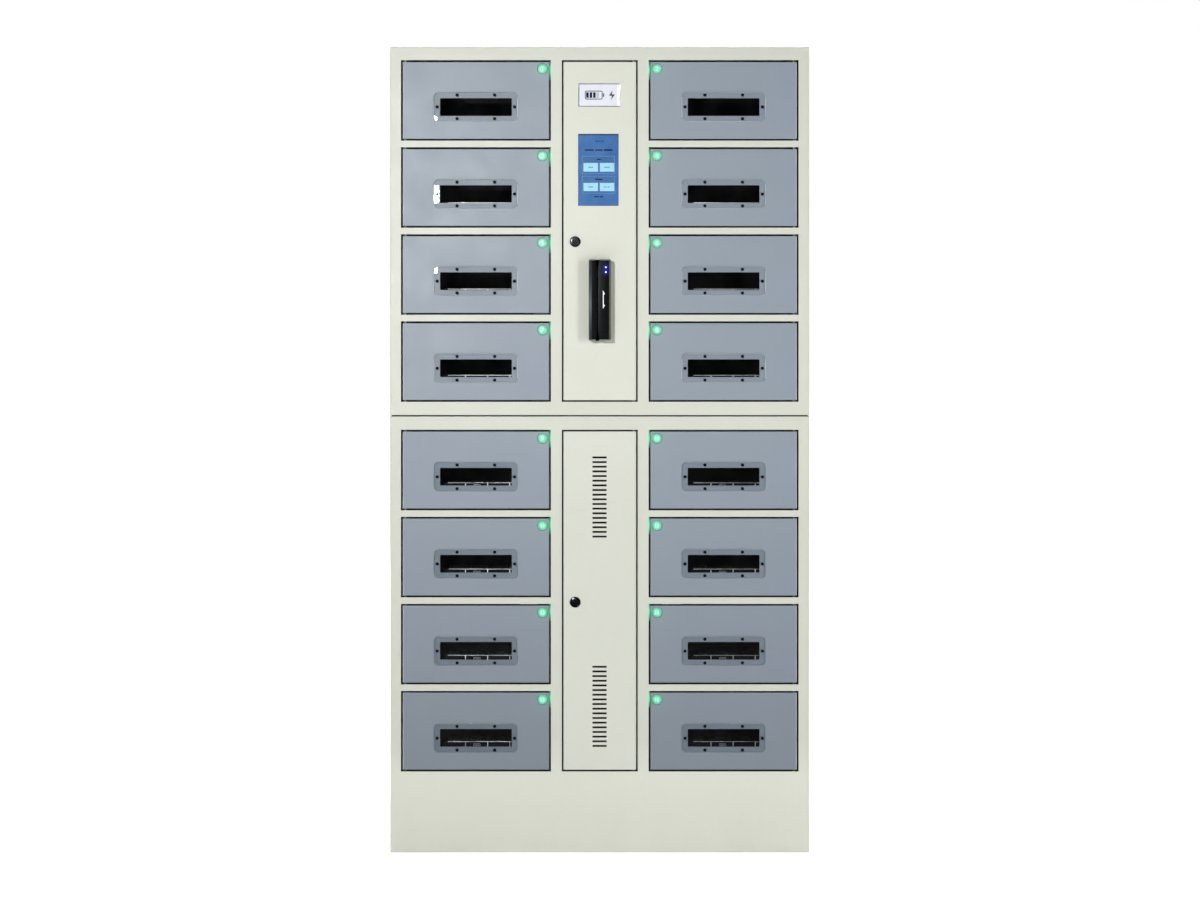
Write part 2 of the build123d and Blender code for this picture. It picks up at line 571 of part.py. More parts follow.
plate = slab(90.0, 50.0, 1.0, FRONT - 1.2, FRONT, -1.0, 1626.8)
save(chamfer(edges_at_y(plate, FRONT - 1.2), 0.4), "name_plate")

# ---------------------------------------------------------------- card reader
READER_W, READER_H, READER_D = 47.0, 174.0, 32.0
SWIPE_X, SWIPE_HALF, SWIPE_FLOOR = -4.9, 0.7, 7.0    # card slot, its floor off the door's front
reader_x, reader_front, swipe_y = READER_W / 2, FRONT - READER_D, FRONT - SWIPE_FLOOR
reader_bottom, reader_top = READER_ZC - READER_H / 2, READER_ZC + READER_H / 2

# The slot widens towards its two ends
flares = []
for up, z_end in ((-1, reader_bottom), (1, reader_top)):
    outline = Polygon((SWIPE_X - SWIPE_HALF, z_end - up * 18.0),
                      (SWIPE_X + SWIPE_HALF, z_end - up * 18.0),
                      (SWIPE_X + 4.2, z_end + up), (SWIPE_X - 4.2, z_end + up), align=None)
    flares.append(Pos(0, swipe_y, 0) * Rot(90, 0, 0) * extrude(outline, amount=READER_D))


def reader_half(side):
    slot_x, outer_x = SWIPE_X + side * SWIPE_HALF, side * reader_x
    half = block(slot_x, outer_x, reader_front, swipe_y, reader_bottom, reader_top)
    corners = [edge for edge in half.edges().filter_by(Axis.Z)
               if edge.center().Y < reader_front + 1 and abs(edge.center().X - outer_x) < 0.1]
    half = fillet(corners, 4.0)
    ends = [edge for edge in half.edges().filter_by(Axis.X)
            if edge.center().Y < reader_front + 0.1]
    return chamfer(ends, 1.5).cut(*flares)


backing = block(-reader_x, reader_x, swipe_y, FRONT, reader_bottom, reader_top)
backing = fillet_along(backing, Axis.Y, 1.0)
backing = backing.fuse(*[rod_y(0.0, READER_ZC + i * READER_STUD_Z, FRONT, FRONT + 5.0, 2.0)
                         for i in SIDES])
save([reader_half(side) for side in SIDES] + [backing], "card_reader")

# ---------------------------------------------------------------- cam locks
LOCK_HEAD_R, PLUG_R = 11.6, 6.0
CAM_FRONT, CAM_REAR = FLANGE_END + 1.2, FLANGE_END + 3.7


def lock_barrel(z):
    """Barrel and its hexagonal nut, fixed in the door."""
    head = rod_y(LOCK_X, z, FRONT - 3.2, FRONT, LOCK_HEAD_R)
    head = fillet(edges_at_y(head, FRONT - 3.2), 1.6)
    barrel = head.fuse(rod_y(LOCK_X, z, FRONT, CAM_FRONT - 1.0, LOCK_BODY_R))
    barrel = barrel.fuse(hex_y(LOCK_X, z, FRONT + FACE_T, FRONT + FACE_T + 5.0, 24.0))
    return barrel - rod_y(LOCK_X, z, FRONT - 10, CAM_FRONT, PLUG_R + 0.06)


def lock_plug(z):
    """Turning plug with its keyway, cam and hexagonal tail."""
    plug = rod_y(LOCK_X, z, FRONT - 3.8, CAM_FRONT, PLUG_R)
    plug = fillet(edges_at_y(plug, FRONT - 3.8), 0.6)
    keyway = block(LOCK_X - 0.9, LOCK_X + 0.9, FRONT - 5, FRONT + 12, z - 3.8, z + 3.8)
    plug = plug - keyway.fuse(rod_y(LOCK_X, z, FRONT - 5, FRONT + 12, 1.6))
    cam = block(LOCK_X - 8.0, LOCK_X + 8.0, CAM_FRONT, CAM_REAR, z - 25.0, z + 9.0)
    cam = fillet_along(cam, Axis.Y, 5.0)
    return plug.fuse(cam, hex_y(LOCK_X, z, CAM_REAR, CAM_REAR + 4.0, 11.0))


for name, z in (("upper", UPPER_LOCK_Z), ("lower", LOCK_DROP_Z)):
    save(lock_barrel(z), f"{name}_lock_barrel")
    save(lock_plug(z), f"{name}_lock_plug")
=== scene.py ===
import json
import math

import bmesh
import bpy
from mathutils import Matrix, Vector


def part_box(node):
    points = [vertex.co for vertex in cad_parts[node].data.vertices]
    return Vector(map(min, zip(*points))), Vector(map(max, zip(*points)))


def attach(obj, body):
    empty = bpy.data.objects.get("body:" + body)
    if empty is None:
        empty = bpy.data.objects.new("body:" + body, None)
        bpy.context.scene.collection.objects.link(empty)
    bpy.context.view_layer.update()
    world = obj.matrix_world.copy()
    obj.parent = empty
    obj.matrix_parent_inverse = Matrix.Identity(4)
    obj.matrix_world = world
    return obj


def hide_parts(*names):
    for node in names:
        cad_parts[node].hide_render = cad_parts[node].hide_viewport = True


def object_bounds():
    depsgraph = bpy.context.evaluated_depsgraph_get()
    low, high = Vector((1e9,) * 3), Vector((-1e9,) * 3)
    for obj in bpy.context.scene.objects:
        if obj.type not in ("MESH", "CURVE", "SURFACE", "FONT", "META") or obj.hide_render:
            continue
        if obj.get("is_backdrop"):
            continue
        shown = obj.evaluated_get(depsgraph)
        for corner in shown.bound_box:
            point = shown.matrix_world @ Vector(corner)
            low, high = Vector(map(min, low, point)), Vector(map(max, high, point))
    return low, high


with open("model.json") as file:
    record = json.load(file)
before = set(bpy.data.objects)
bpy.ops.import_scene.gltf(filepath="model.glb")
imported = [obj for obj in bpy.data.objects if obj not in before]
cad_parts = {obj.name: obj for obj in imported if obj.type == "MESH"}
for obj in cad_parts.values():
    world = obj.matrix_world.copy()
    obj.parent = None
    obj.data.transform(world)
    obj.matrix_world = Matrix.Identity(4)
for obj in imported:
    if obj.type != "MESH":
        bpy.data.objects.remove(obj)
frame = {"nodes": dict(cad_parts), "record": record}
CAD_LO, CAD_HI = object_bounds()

NODES = frame["nodes"]
BODY_OF = {n: b for b, ns in frame["record"]["behaviour"]["bodies"].items() for n in ns}
MM = 0.001
TAU = 2 * math.pi

# ------------------------------------------------------------------ places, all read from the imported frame
DOORS = {n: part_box(f"door_{n:02d}") for n in range(1, 17)}
WINDOWS = {n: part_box(f"window_{n:02d}") for n in range(1, 17)}
YF = DOORS[1][0].y                      # front plane
PLATE_LO, PLATE_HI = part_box("name_plate")
SCREEN_LO, SCREEN_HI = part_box("touchscreen")
READER_LO, READER_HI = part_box("card_reader")
GAP = 3.5 * MM


def side_of(n):
    return -1 if DOORS[n][1].x < 0 else 1


def opening(n):
    """(inner x, outer x, bottom z, top z) of compartment opening n."""
    lo, hi = DOORS[n]
    if side_of(n) < 0:
        return hi.x + GAP, lo.x - GAP, lo.z - GAP, hi.z + GAP
    return lo.x - GAP, hi.x + GAP, lo.z - GAP, hi.z + GAP


# ------------------------------------------------------------------ node materials
class Mat:
    def __init__(self, name):
        self.m = bpy.data.materials.new(name)
        self.m.use_nodes = True
        self.t = self.m.node_tree
        self.t.nodes.clear()
        self.out = self.t.nodes.new("ShaderNodeOutputMaterial")
        self.b = self.t.nodes.new("ShaderNodeBsdfPrincipled")
        self.t.links.new(self.b.outputs[0], self.out.inputs["Surface"])
        self.tc = self.t.nodes.new("ShaderNodeTexCoord")

    def n(self, kind, **kw):
        node = self.t.nodes.new("ShaderNode" + kind)
        for k, v in kw.items():
            if hasattr(node, k) and k not in node.inputs:
                setattr(node, k, v)
            else:
                self.put(node.inputs[k], v)
        return node

    def put(self, socket, v):
        if isinstance(v, bpy.types.NodeSocket):
            self.t.links.new(v, socket)
        elif isinstance(v, (tuple, list)) and len(v) == 3 and socket.type == "RGBA":
            socket.default_value = (*v, 1.0)
        else:
            socket.default_value = v

    def set(self, **kw):
        for k, v in kw.items():
            self.put(self.b.inputs[k.replace("_", " ")], v)
        return self

    def coords(self, scale=(1, 1, 1)):
        if scale == (1, 1, 1):
            return self.tc.outputs["Object"]
        return self.n("Mapping", Vector=self.tc.outputs["Object"], Scale=scale).outputs[0]

    def noise(self, scale, detail=3.0, rough=0.5, stretch=(1, 1, 1), distortion=0.0):
        return self.n("TexNoise", Vector=self.coords(stretch), Scale=scale, Detail=detail, Roughness=rough, Distortion=distortion).outputs["Fac"]

    def math(self, op, a, b=0.0, clamp=False):
        node = self.t.nodes.new("ShaderNodeMath")
        node.operation, node.use_clamp = op, clamp
        self.put(node.inputs[0], a)
        self.put(node.inputs[1], b)
        return node.outputs[0]

    def span(self, v, a, b, lo, hi):
        node = self.n("MapRange", Value=v)
        for k, x in (("From Min", a), ("From Max", b), ("To Min", lo), ("To Max", hi)):
            node.inputs[k].default_value = x
        return node.outputs[0]

    def mix(self, fac, a, b, how="MIX"):
        node = self.t.nodes.new("ShaderNodeMix")
        node.data_type, node.blend_type = "RGBA", how
        self.put(node.inputs[0], fac)
        self.put(node.inputs[6], a if isinstance(a, bpy.types.NodeSocket) else (*a, 1.0))
        self.put(node.inputs[7], b if isinstance(b, bpy.types.NodeSocket) else (*b, 1.0))
        return node.outputs[2]

    def axis(self, i):
        return self.n("SeparateXYZ", Vector=self.tc.outputs["Object"]).outputs[i]

    def bump(self, height, strength, distance, normal=None):
        node = self.n("Bump", Height=height, Strength=strength, Distance=distance)
        if normal is not None:
            self.put(node.inputs["Normal"], normal)
        return node.outputs[0]

    def soft_edge(self, radius):
        return self.n("Bevel", samples=4, Radius=radius).outputs[0]


def shade(c, f):
    return tuple(min(1.0, x * f) for x in c)


def powder_coat(name, base, rough=0.45, grain=0.3, edge=0.0, dust=0.0, low_dirt=0.0, tint=(0.9, 0.93, 1.0), mottle=0.985, inside=0.0, gap_painted_shade=0.0, painted_light_by_height=None, vents=None):
    """Textured powder coat: mottled colour, orange-peel relief, slightly uneven gloss, dust on upward faces and scuffs
    low down. It can also carry painted light and shade: brightness graded by height, painted shade in the door gaps and
    round vent slots, and a painted highlight along the door hinge edge.
    """
    m = Mat(name)
    broad = m.noise(2.6, 2.0, 0.5)
    fine = m.noise(380.0, 3.0, 0.6)
    col = m.mix(m.span(broad, 0.3, 0.7, 0.0, 1.0), shade(base, 0.975), shade(base, 1.02))
    col = m.mix(m.span(fine, 0.35, 0.7, 0.0, 0.10), col, shade(base, 0.82))
    col = m.mix(0.5, col, m.mix(m.span(m.noise(170.0, 3.0, 0.7), 0.32, 0.68, 0.0, 1.0), shade(base, 2 - mottle), shade(base, mottle)))
    speck = m.span(m.noise(1500.0, 1.0, 0.5), 0.68, 0.74, 0.0, 0.35)
    col = m.mix(speck, col, tuple(b * t * 1.12 for b, t in zip(base, tint)))
    r = m.span(m.noise(14.0, 4.0, 0.6), 0.3, 0.7, rough - 0.05, rough + 0.06)
    # painted light: the colour is scaled by a factor graded with height, standing in for how the studio light falls on
    # the front
    if painted_light_by_height:
        level = m.span(m.axis(2), painted_light_by_height[0][0], painted_light_by_height[1][0], painted_light_by_height[0][1], painted_light_by_height[1][1])
        for (za, fa), (zb, fb) in zip(painted_light_by_height[1:], painted_light_by_height[2:]):
            level = m.math("MULTIPLY", level, m.span(m.axis(2), za, zb, 1.0, fb / fa))
        col = m.mix(1.0, col, m.n("CombineColor", Red=level, Green=level, Blue=level).outputs[0], "MULTIPLY")
    if low_dirt:
        low = m.span(m.axis(2), 0.0, 0.16, 1.0, 0.0)
        smear = m.math("MULTIPLY", low, m.span(m.noise(9.0, 6.0, 0.65, (1, 1, 0.35)), 0.46, 0.72, 0.0, low_dirt))
        col = m.mix(smear, col, tuple(x * y for x, y in zip(base, (0.62, 0.58, 0.5))))
        r = m.math("ADD", r, m.math("MULTIPLY", smear, 0.3))
    if dust:
        up = m.span(m.n("SeparateXYZ", Vector=m.n("NewGeometry").outputs["Normal"]).outputs[2], 0.6, 1.0, 0.0, dust)
        up = m.math("MULTIPLY", up, m.span(m.noise(5.0, 5.0, 0.6), 0.3, 0.7, 0.4, 1.0))
        col = m.mix(up, col, (0.55, 0.54, 0.5))
    if inside:
        ax = m.math("ABSOLUTE", m.axis(0))
        mask = m.math("MULTIPLY", m.math("LESS_THAN", ax, CAD_HI.x - 0.6 * MM), m.math("LESS_THAN", m.axis(1), inside - 0.8 * MM))
        mask = m.math("MULTIPLY", mask, m.math("MULTIPLY", m.math("LESS_THAN", m.axis(2), CAD_HI.z - 0.6 * MM), m.math("GREATER_THAN", m.axis(2), 0.6 * MM)))
        col = m.mix(mask, col, (0.006, 0.0061, 0.0066))
    # painted shade: the side faces of the returns, set back from the front sheet in the gaps between doors and frames,
    # are darkened almost to black
    if gap_painted_shade:
        deep = m.span(m.axis(1), YF + 0.25 * MM, YF + 0.9 * MM, 0.0, gap_painted_shade)
        deep = m.math("MULTIPLY", deep, m.math("LESS_THAN", m.math("ABSOLUTE", m.axis(0)), CAD_HI.x - 0.6 * MM))
        deep = m.math("MULTIPLY", deep, m.math("MULTIPLY", m.math("LESS_THAN", m.axis(2), CAD_HI.z - 0.6 * MM), m.math("GREATER_THAN", m.axis(2), 0.6 * MM)))
        side = m.math("LESS_THAN", m.math("ABSOLUTE", m.n("SeparateXYZ", Vector=m.tc.outputs["Normal"]).outputs[1]), 0.5)
        # on the frames every surface more than 2.5 mm behind the front is darkened as painted shade too
        if name == "paint_cream":
            side = m.math("MAXIMUM", side, m.math("GREATER_THAN", m.axis(1), YF + 2.5 * MM))
        col = m.mix(m.math("MULTIPLY", deep, side), col, shade(base, 0.03))
        if name == "paint_grey_door":
            # painted highlight: a pale, uneven line along the front of the doors' hinge edge, where the rounded edge
            # catches the light
            hinge_edge_painted_highlight = m.math("MULTIPLY", m.math("GREATER_THAN", m.math("ABSOLUTE", m.axis(0)), HINGE_EDGE - 1.8 * MM), m.math("LESS_THAN", m.axis(1), YF + 0.5 * MM))
            col = m.mix(m.math("MULTIPLY", hinge_edge_painted_highlight, m.span(m.noise(30.0, 3.0, 0.6), 0.3, 0.7, 0.5, 0.9)), col, (0.66, 0.69, 0.70))
    # painted shade: a soft dark band round each vent slot on the front face
    if vents:
        x_mid, half_x, half_z, pitch, rows, count = vents
        rim_painted_shading = None
        for z_first in rows:
            mid = m.math("DIVIDE", m.math("SUBTRACT", z_first, m.axis(2)), pitch)
            off = m.math("MULTIPLY", m.math("ABSOLUTE", m.math("SUBTRACT", mid, m.math("ROUND", mid))), pitch)
            near = m.math("MULTIPLY", m.span(off, half_z + 0.15 * MM, half_z + 0.65 * MM, 1.0, 0.0), m.math("MULTIPLY", m.math("GREATER_THAN", mid, -0.4), m.math("LESS_THAN", mid, count - 0.6)))
            rim_painted_shading = near if rim_painted_shading is None else m.math("MAXIMUM", rim_painted_shading, near)
        rim_painted_shading = m.math("MULTIPLY", rim_painted_shading, m.span(m.math("ABSOLUTE", m.math("SUBTRACT", m.axis(0), x_mid)), half_x, half_x + 0.5 * MM, 1.0, 0.0))
        col = m.mix(m.math("MULTIPLY", rim_painted_shading, 0.93), col, shade(base, 0.04))
    peel = m.noise(620.0, 2.0, 0.5)
    wave = m.noise(60.0, 2.0, 0.5)
    normal = m.soft_edge(edge) if edge else None
    h = m.math("ADD", m.math("MULTIPLY", peel, 1.0), m.math("MULTIPLY", wave, 0.6))
    m.set(Base_Color=col, Roughness=r, IOR=1.5, Normal=m.bump(h, grain, 0.0004, normal))
    return m.m


def plastic(name, base, rough=0.4, grain_scale=900.0, grain=0.25, edge=0.0, spread=0.15, coat=0.0, spec=0.5):
    """Moulded plastic: spark-eroded grain, faint flow marks and handled sheen."""
    m = Mat(name)
    flow = m.noise(22.0, 4.0, 0.6, (1, 1, 0.4))
    col = m.mix(m.span(flow, 0.3, 0.7, 0.0, 1.0), shade(base, 1 - spread), shade(base, 1 + spread))
    r = m.span(m.noise(35.0, 5.0, 0.65), 0.3, 0.7, max(0.03, rough - 0.08), rough + 0.1)
    normal = m.soft_edge(edge) if edge else None
    m.set(Base_Color=col, Roughness=r, Specular_IOR_Level=spec, Normal=m.bump(m.noise(grain_scale, 2.0, 0.6), grain, 0.0002, normal))
    if coat:
        m.set(Coat_Weight=coat, Coat_Roughness=0.08)
    return m.m


def metal(name, base, rough=0.3, stretch=(1, 1, 1), scale=300.0, spread=0.12, scratch=0.25, edge=0.0, tint=None):
    """Plated or bare metal: drawn grain, blotchy plating and fine scratches."""
    m = Mat(name)
    grain = m.noise(scale, 4.0, 0.65, stretch)
    blotch = m.noise(40.0, 4.0, 0.6)
    col = m.mix(m.span(grain, 0.3, 0.7, 0.0, 1.0), shade(base, 1 - spread), shade(base, 1 + spread))
    if tint:
        col = m.mix(m.span(blotch, 0.42, 0.68, 0.0, 0.5), col, tint)
    r = m.span(blotch, 0.3, 0.7, max(0.04, rough - 0.1), rough + 0.12)
    normal = m.soft_edge(edge) if edge else None
    m.set(Base_Color=col, Metallic=1.0, Roughness=r, Normal=m.bump(m.noise(scale * 2.3, 3.0, 0.6, stretch), scratch, 0.0001, normal))
    return m.m


def glow(name, base, colour, strength, rough=0.35, vary=0.15, scale=120.0, fade=False):
    """A lit translucent surface, with slightly uneven brightness."""
    m = Mat(name)
    cloud = m.noise(scale, 3.0, 0.6)
    col = m.mix(m.span(cloud, 0.3, 0.7, 0.0, 1.0), shade(base, 0.9), shade(base, 1.08))
    power = m.span(cloud, 0.3, 0.7, strength * (1 - vary), strength * (1 + vary))
    if fade:
        power = m.math("MULTIPLY", power, m.n("Attribute", attribute_name="spill").outputs["Fac"])
    m.set(Base_Color=col, Roughness=m.span(cloud, 0.3, 0.7, rough - 0.06, rough + 0.06), Emission_Color=colour, Emission_Strength=power,
          Normal=m.bump(cloud, 0.1, 0.0001))
    return m.m


def clear_sheet(name, tint=(0.955, 0.965, 0.97), rough=0.012, ior=1.42):
    """Clear sheet that keeps the light behind it: it lets light straight through and mirrors by angle, with smears and hairline scratches."""
    m = Mat(name)
    m.t.nodes.remove(m.b)
    smear = m.noise(26.0, 5.0, 0.65, (1, 1, 0.5))
    hair = m.noise(900.0, 2.0, 0.5, (0.06, 1, 1))
    normal = m.bump(m.math("ADD", m.math("MULTIPLY", smear, 0.5), m.math("MULTIPLY", hair, 0.1)), 0.03, 0.0003)
    through = m.n("BsdfTransparent", Color=(*tint, 1.0))
    gloss = m.n("BsdfGlossy", Color=(1, 1, 1, 1), Roughness=m.span(smear, 0.35, 0.7, rough, rough + 0.01), Normal=normal)
    haze = m.n("BsdfDiffuse", Color=(0.75, 0.78, 0.8, 1.0), Normal=normal)
    fac = m.n("Fresnel", IOR=ior, Normal=normal).outputs[0]
    a = m.n("MixShader", Fac=fac)
    m.put(a.inputs[1], through.outputs[0])
    m.put(a.inputs[2], gloss.outputs[0])
    b = m.n("MixShader", Fac=m.span(smear, 0.4, 0.75, 0.0005, 0.004))
    m.put(b.inputs[1], a.outputs[0])
    m.put(b.inputs[2], haze.outputs[0])
    m.t.links.new(b.outputs[0], m.out.inputs["Surface"])
    return m.m


HINGE_EDGE = DOORS[2][1].x if DOORS[2][1].x > 0.4 else max(abs(b.x) for a in DOORS.values() for b in a)   # outer edge of the compartment doors
CREAM, GREY = (0.683, 0.697, 0.618), (0.262, 0.304, 0.358)
# the frame and door paints below carry painted light and shade: brightness graded by height, painted shade in the gaps
# and round the vent slots, a painted highlight along the door hinge edge
M = {
    "cream": powder_coat("paint_cream", CREAM, 0.45, 0.22, dust=0.0, low_dirt=0.10, gap_painted_shade=0.97, painted_light_by_height=((0.16, 1.05), (0.24, 0.92), (0.45, 0.89), (0.72, 0.875), (1.0, 0.90))),
    "cream_top": powder_coat("paint_cream_carcass", CREAM, 0.45, 0.22, dust=0.35, low_dirt=0.10, inside=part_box("rear_panels")[1].y),
    "cream_door": powder_coat("paint_cream_door", CREAM, 0.44, 0.22, edge=0.0006, gap_painted_shade=0.93, painted_light_by_height=((0.18, 0.99), (0.9, 0.95))),
    "cream_vent": powder_coat("paint_cream_door_vented", (0.683, 0.697, 0.628), 0.44, 0.22, edge=0.0006, gap_painted_shade=0.93, painted_light_by_height=((0.18, 0.985), (0.5, 0.93), (0.74, 0.905), (0.88, 0.935)), vents=(-0.5 * MM, 15.0 * MM, 1.7 * MM, 10.0 * MM, (848.6 * MM, 398.9 * MM), 18)),
    "grey": powder_coat("paint_grey_door", GREY, 0.44, 0.28, edge=0.0006, tint=(1.2, 1.2, 1.2), gap_painted_shade=0.93, painted_light_by_height=((0.22, 0.84), (0.85, 0.985))),
    "inner": powder_coat("paint_black_inside", (0.006, 0.0061, 0.0066), 0.6, 0.35, dust=0.02, tint=(1.5, 1.5, 1.5)),
    "zinc": metal("zinc_plate", (0.66, 0.65, 0.62), 0.32, scale=500.0, tint=(0.70, 0.66, 0.52)),
    "chrome": metal("dark_chrome", (0.12, 0.12, 0.122), 0.2, scale=700.0, spread=0.2, scratch=0.2),
    "plug": metal("lock_plug_dark", (0.045, 0.045, 0.048), 0.26, (1, 1, 0.2), 500.0, spread=0.25, scratch=0.3),
    "ring_black": metal("lock_ring_black", (0.06, 0.062, 0.062), 0.2, scale=700.0, spread=0.25, scratch=0.2),
    "pin": metal("pin_dull_steel", (0.34, 0.34, 0.33), 0.5, (1, 1, 0.1), 400.0, spread=0.2),
    "steel": metal("bare_steel", (0.52, 0.52, 0.53), 0.28, (1, 1, 0.08), 300.0),
    "brass": metal("brass_contact", (0.80, 0.58, 0.26), 0.3, scale=500.0),
    "silver": metal("silver_trim", (0.50, 0.51, 0.53), 0.34, (0.06, 1, 1), 500.0),
    "trim": metal("aluminium_trim", (0.80, 0.81, 0.82), 0.42, (0.06, 1, 1), 500.0),
    "black_screw": plastic("black_oxide", (0.004, 0.004, 0.0045), 0.5, 700.0, 0.3, spread=0.3, spec=0.15),
    "black": plastic("plastic_black_matt", (0.018, 0.018, 0.020), 0.5, edge=0.0006),
    "black_gloss": plastic("plastic_black_satin", (0.010, 0.012, 0.013), 0.32, grain=0.12, edge=0.0005),
    "module": plastic("plastic_black_module", (0.0045, 0.0045, 0.005), 0.45, grain=0.12, edge=0.0005, spec=0.12),
    "rail": plastic("plastic_black_strip", (0.0065, 0.007, 0.0075), 0.42, grain=0.2, edge=0.0008, spec=0.12),
    "grey_plastic": plastic("plastic_grey", (0.24, 0.25, 0.26), 0.45, edge=0.001),
    "white_plastic": plastic("plastic_white", (0.72, 0.73, 0.72), 0.4, spread=0.04),
    "green_plastic": plastic("plastic_green", (0.03, 0.24, 0.09), 0.42),
    "red_plastic": plastic("plastic_red", (0.50, 0.03, 0.02), 0.35),
    "rubber": plastic("rubber_black", (0.02, 0.02, 0.02), 0.75, 500.0, 0.5),
    "cable": plastic("cable_black", (0.02, 0.02, 0.022), 0.5, 600.0, 0.3),
    "cable_red": plastic("cable_red", (0.42, 0.02, 0.015), 0.45, 600.0, 0.2),
    "cable_blue": plastic("cable_blue", (0.03, 0.09, 0.36), 0.45, 600.0, 0.2),
    "cable_grey": plastic("cable_grey", (0.26, 0.27, 0.28), 0.5, 600.0, 0.2),
    "tie": plastic("cable_tie", (0.60, 0.60, 0.55), 0.45),
    # the sheets of doors 1 to 8, the upper four rows, use lit copies: a clearer sheet and lighter cut edges as painted
    # light
    "pane": clear_sheet("polycarbonate_clear", (0.95, 0.96, 0.965)),
    "pane_upper_rows_lit": clear_sheet("polycarbonate_clear_upper_rows_lit", (0.99, 0.992, 0.995)),
    "pane_edge_upper_rows_lit": plastic("polycarbonate_edge_upper_rows_lit", (0.45, 0.49, 0.53), 0.2, 300.0, 0.3, spread=0.1),
    "pane_end_painted_highlight": plastic("polycarbonate_end_painted_highlight", (0.84, 0.87, 0.92), 0.15, 300.0, 0.3, spread=0.1),
    "pane_edge": plastic("polycarbonate_cut_edge", (0.33, 0.37, 0.41), 0.22, 300.0, 0.3, spread=0.1),
    "glass": clear_sheet("glass_front", (0.985, 0.985, 0.99), 0.03, 1.45),
    "lens": glow("lamp_lens_green", (0.10, 0.30, 0.20), (0.19, 0.60, 0.40), 0.56, fade=True),
    "lens_rim": glow("lamp_lens_rim", (0.12, 0.26, 0.20), (0.16, 0.52, 0.34), 0.36),
    "digit": glow("lamp_digit_lit", (0.5, 0.7, 0.6), (0.50, 0.92, 0.72), 0.86, vary=0.05),
    "screen_blue": glow("screen_blue", (0.02, 0.03, 0.05), (0.040, 0.158, 0.42), 0.95, 0.2, 0.10, 30.0),
    "screen_panel": glow("screen_panel", (0.02, 0.03, 0.05), (0.052, 0.155, 0.37), 0.95, 0.2, 0.06, 40.0),
    "screen_line": glow("screen_line", (0.02, 0.03, 0.05), (0.15, 0.40, 0.80), 1.0, 0.2, 0.05, 40.0),
    "screen_button": glow("screen_button", (0.05, 0.06, 0.07), (0.40, 0.76, 0.97), 1.0, 0.2, 0.04, 60.0),
    "screen_border": plastic("screen_border_blue", (0.035, 0.085, 0.26), 0.4, 500.0, 0.2),
    "screen_ink": glow("screen_ink", (0.006, 0.006, 0.012), (0.004, 0.012, 0.085), 0.5, 0.2, 0.05, 60.0),
    "screen_icon": glow("screen_icon", (0.02, 0.03, 0.05), (0.13, 0.34, 0.42), 0.9, 0.2, 0.05, 60.0),
    "print_dark": plastic("print_dark", (0.045, 0.047, 0.055), 0.45, spread=0.1),
    "print_white": plastic("print_white", (0.78, 0.79, 0.80), 0.45, spread=0.03),
    "print_glow_painted": glow("print_white_painted_glow", (0.85, 0.86, 0.87), (0.95, 0.97, 1.0), 0.22, vary=0.05),
    "plate_right_painted_highlight": plastic("plate_right_painted_highlight", (0.93, 0.93, 0.93), 0.3, 200.0, 0.05, spread=0.02),
    "plate": plastic("plate_white", (0.74, 0.75, 0.84), 0.32, 200.0, 0.05, spread=0.03),
    "led_blue": glow("led_blue", (0.3, 0.35, 0.6), (0.50, 0.66, 1.0), 2.1, 0.2, 0.05, 200.0),
}


def lit_black(name, centres, reach):
    """Satin black plastic with a painted glow round the two small lamps set in it, and painted highlights on its
    bevels, its ends and its outer left rim.
    """
    m = Mat(name)
    total = None
    for c in centres:
        d = m.n("VectorMath", operation="DISTANCE")
        m.put(d.inputs[0], m.tc.outputs["Object"])
        d.inputs[1].default_value = c
        f = m.math("POWER", m.span(d.outputs["Value"], 0.0, reach, 1.0, 0.0), 2.6)
        total = f if total is None else m.math("ADD", total, f)
    flow = m.noise(22.0, 4.0, 0.6, (1, 1, 0.4))
    col = m.mix(m.span(flow, 0.3, 0.7, 0.0, 1.0), (0.0040, 0.0052, 0.0056), (0.0058, 0.0074, 0.0080))
    x, z = m.axis(0), m.axis(2)
    front = m.math("LESS_THAN", m.axis(1), READER_LO.y + 4.0 * MM)
    cx, cz = (READER_LO.x + READER_HI.x) / 2, (READER_LO.z + READER_HI.z) / 2
    # painted highlights on the bevels: the left one brightest at mid height, the right one dimmer and warmer, thin pale
    # lines at the ends, and a pale line along the outer left rim
    near = m.math("POWER", m.span(m.math("ABSOLUTE", m.math("SUBTRACT", z, cz - 8 * MM)), 0.0, 70 * MM, 1.0, 0.0), 1.5)
    left_bevel_painted_highlight = m.math("MULTIPLY", m.span(x, cx - 17.6 * MM, cx - 17.0 * MM, 1.0, 0.0), front)
    col = m.mix(left_bevel_painted_highlight, col, m.mix(near, (0.030, 0.034, 0.038), (0.125, 0.142, 0.155)))
    right_bevel_painted_highlight = m.math("MULTIPLY", m.span(x, cx + 19.6 * MM, cx + 20.2 * MM, 0.0, 1.0), front)
    col = m.mix(right_bevel_painted_highlight, col, (0.105, 0.098, 0.075))
    end_painted_highlight = m.math("MULTIPLY", m.span(m.math("ABSOLUTE", m.math("SUBTRACT", z, cz)), 84.2 * MM, 84.7 * MM, 0.0, 1.0), front)
    col = m.mix(end_painted_highlight, col, (0.24, 0.24, 0.215))
    rim_painted_shading = m.math("MULTIPLY", m.span(x, cx - 22.6 * MM, cx - 22.2 * MM, 1.0, 0.0), front)
    col = m.mix(rim_painted_shading, col, (0.16, 0.165, 0.15))
    m.set(Base_Color=col, Roughness=m.span(m.noise(35.0, 5.0, 0.65), 0.3, 0.7, 0.24, 0.32), Specular_IOR_Level=0.06,
          Emission_Color=(0.010, 0.024, 0.62), Emission_Strength=m.math("MULTIPLY", total, 0.9), Normal=m.bump(m.noise(900.0, 2.0, 0.6), 0.12, 0.0002, m.soft_edge(0.0005)))
    return m.m


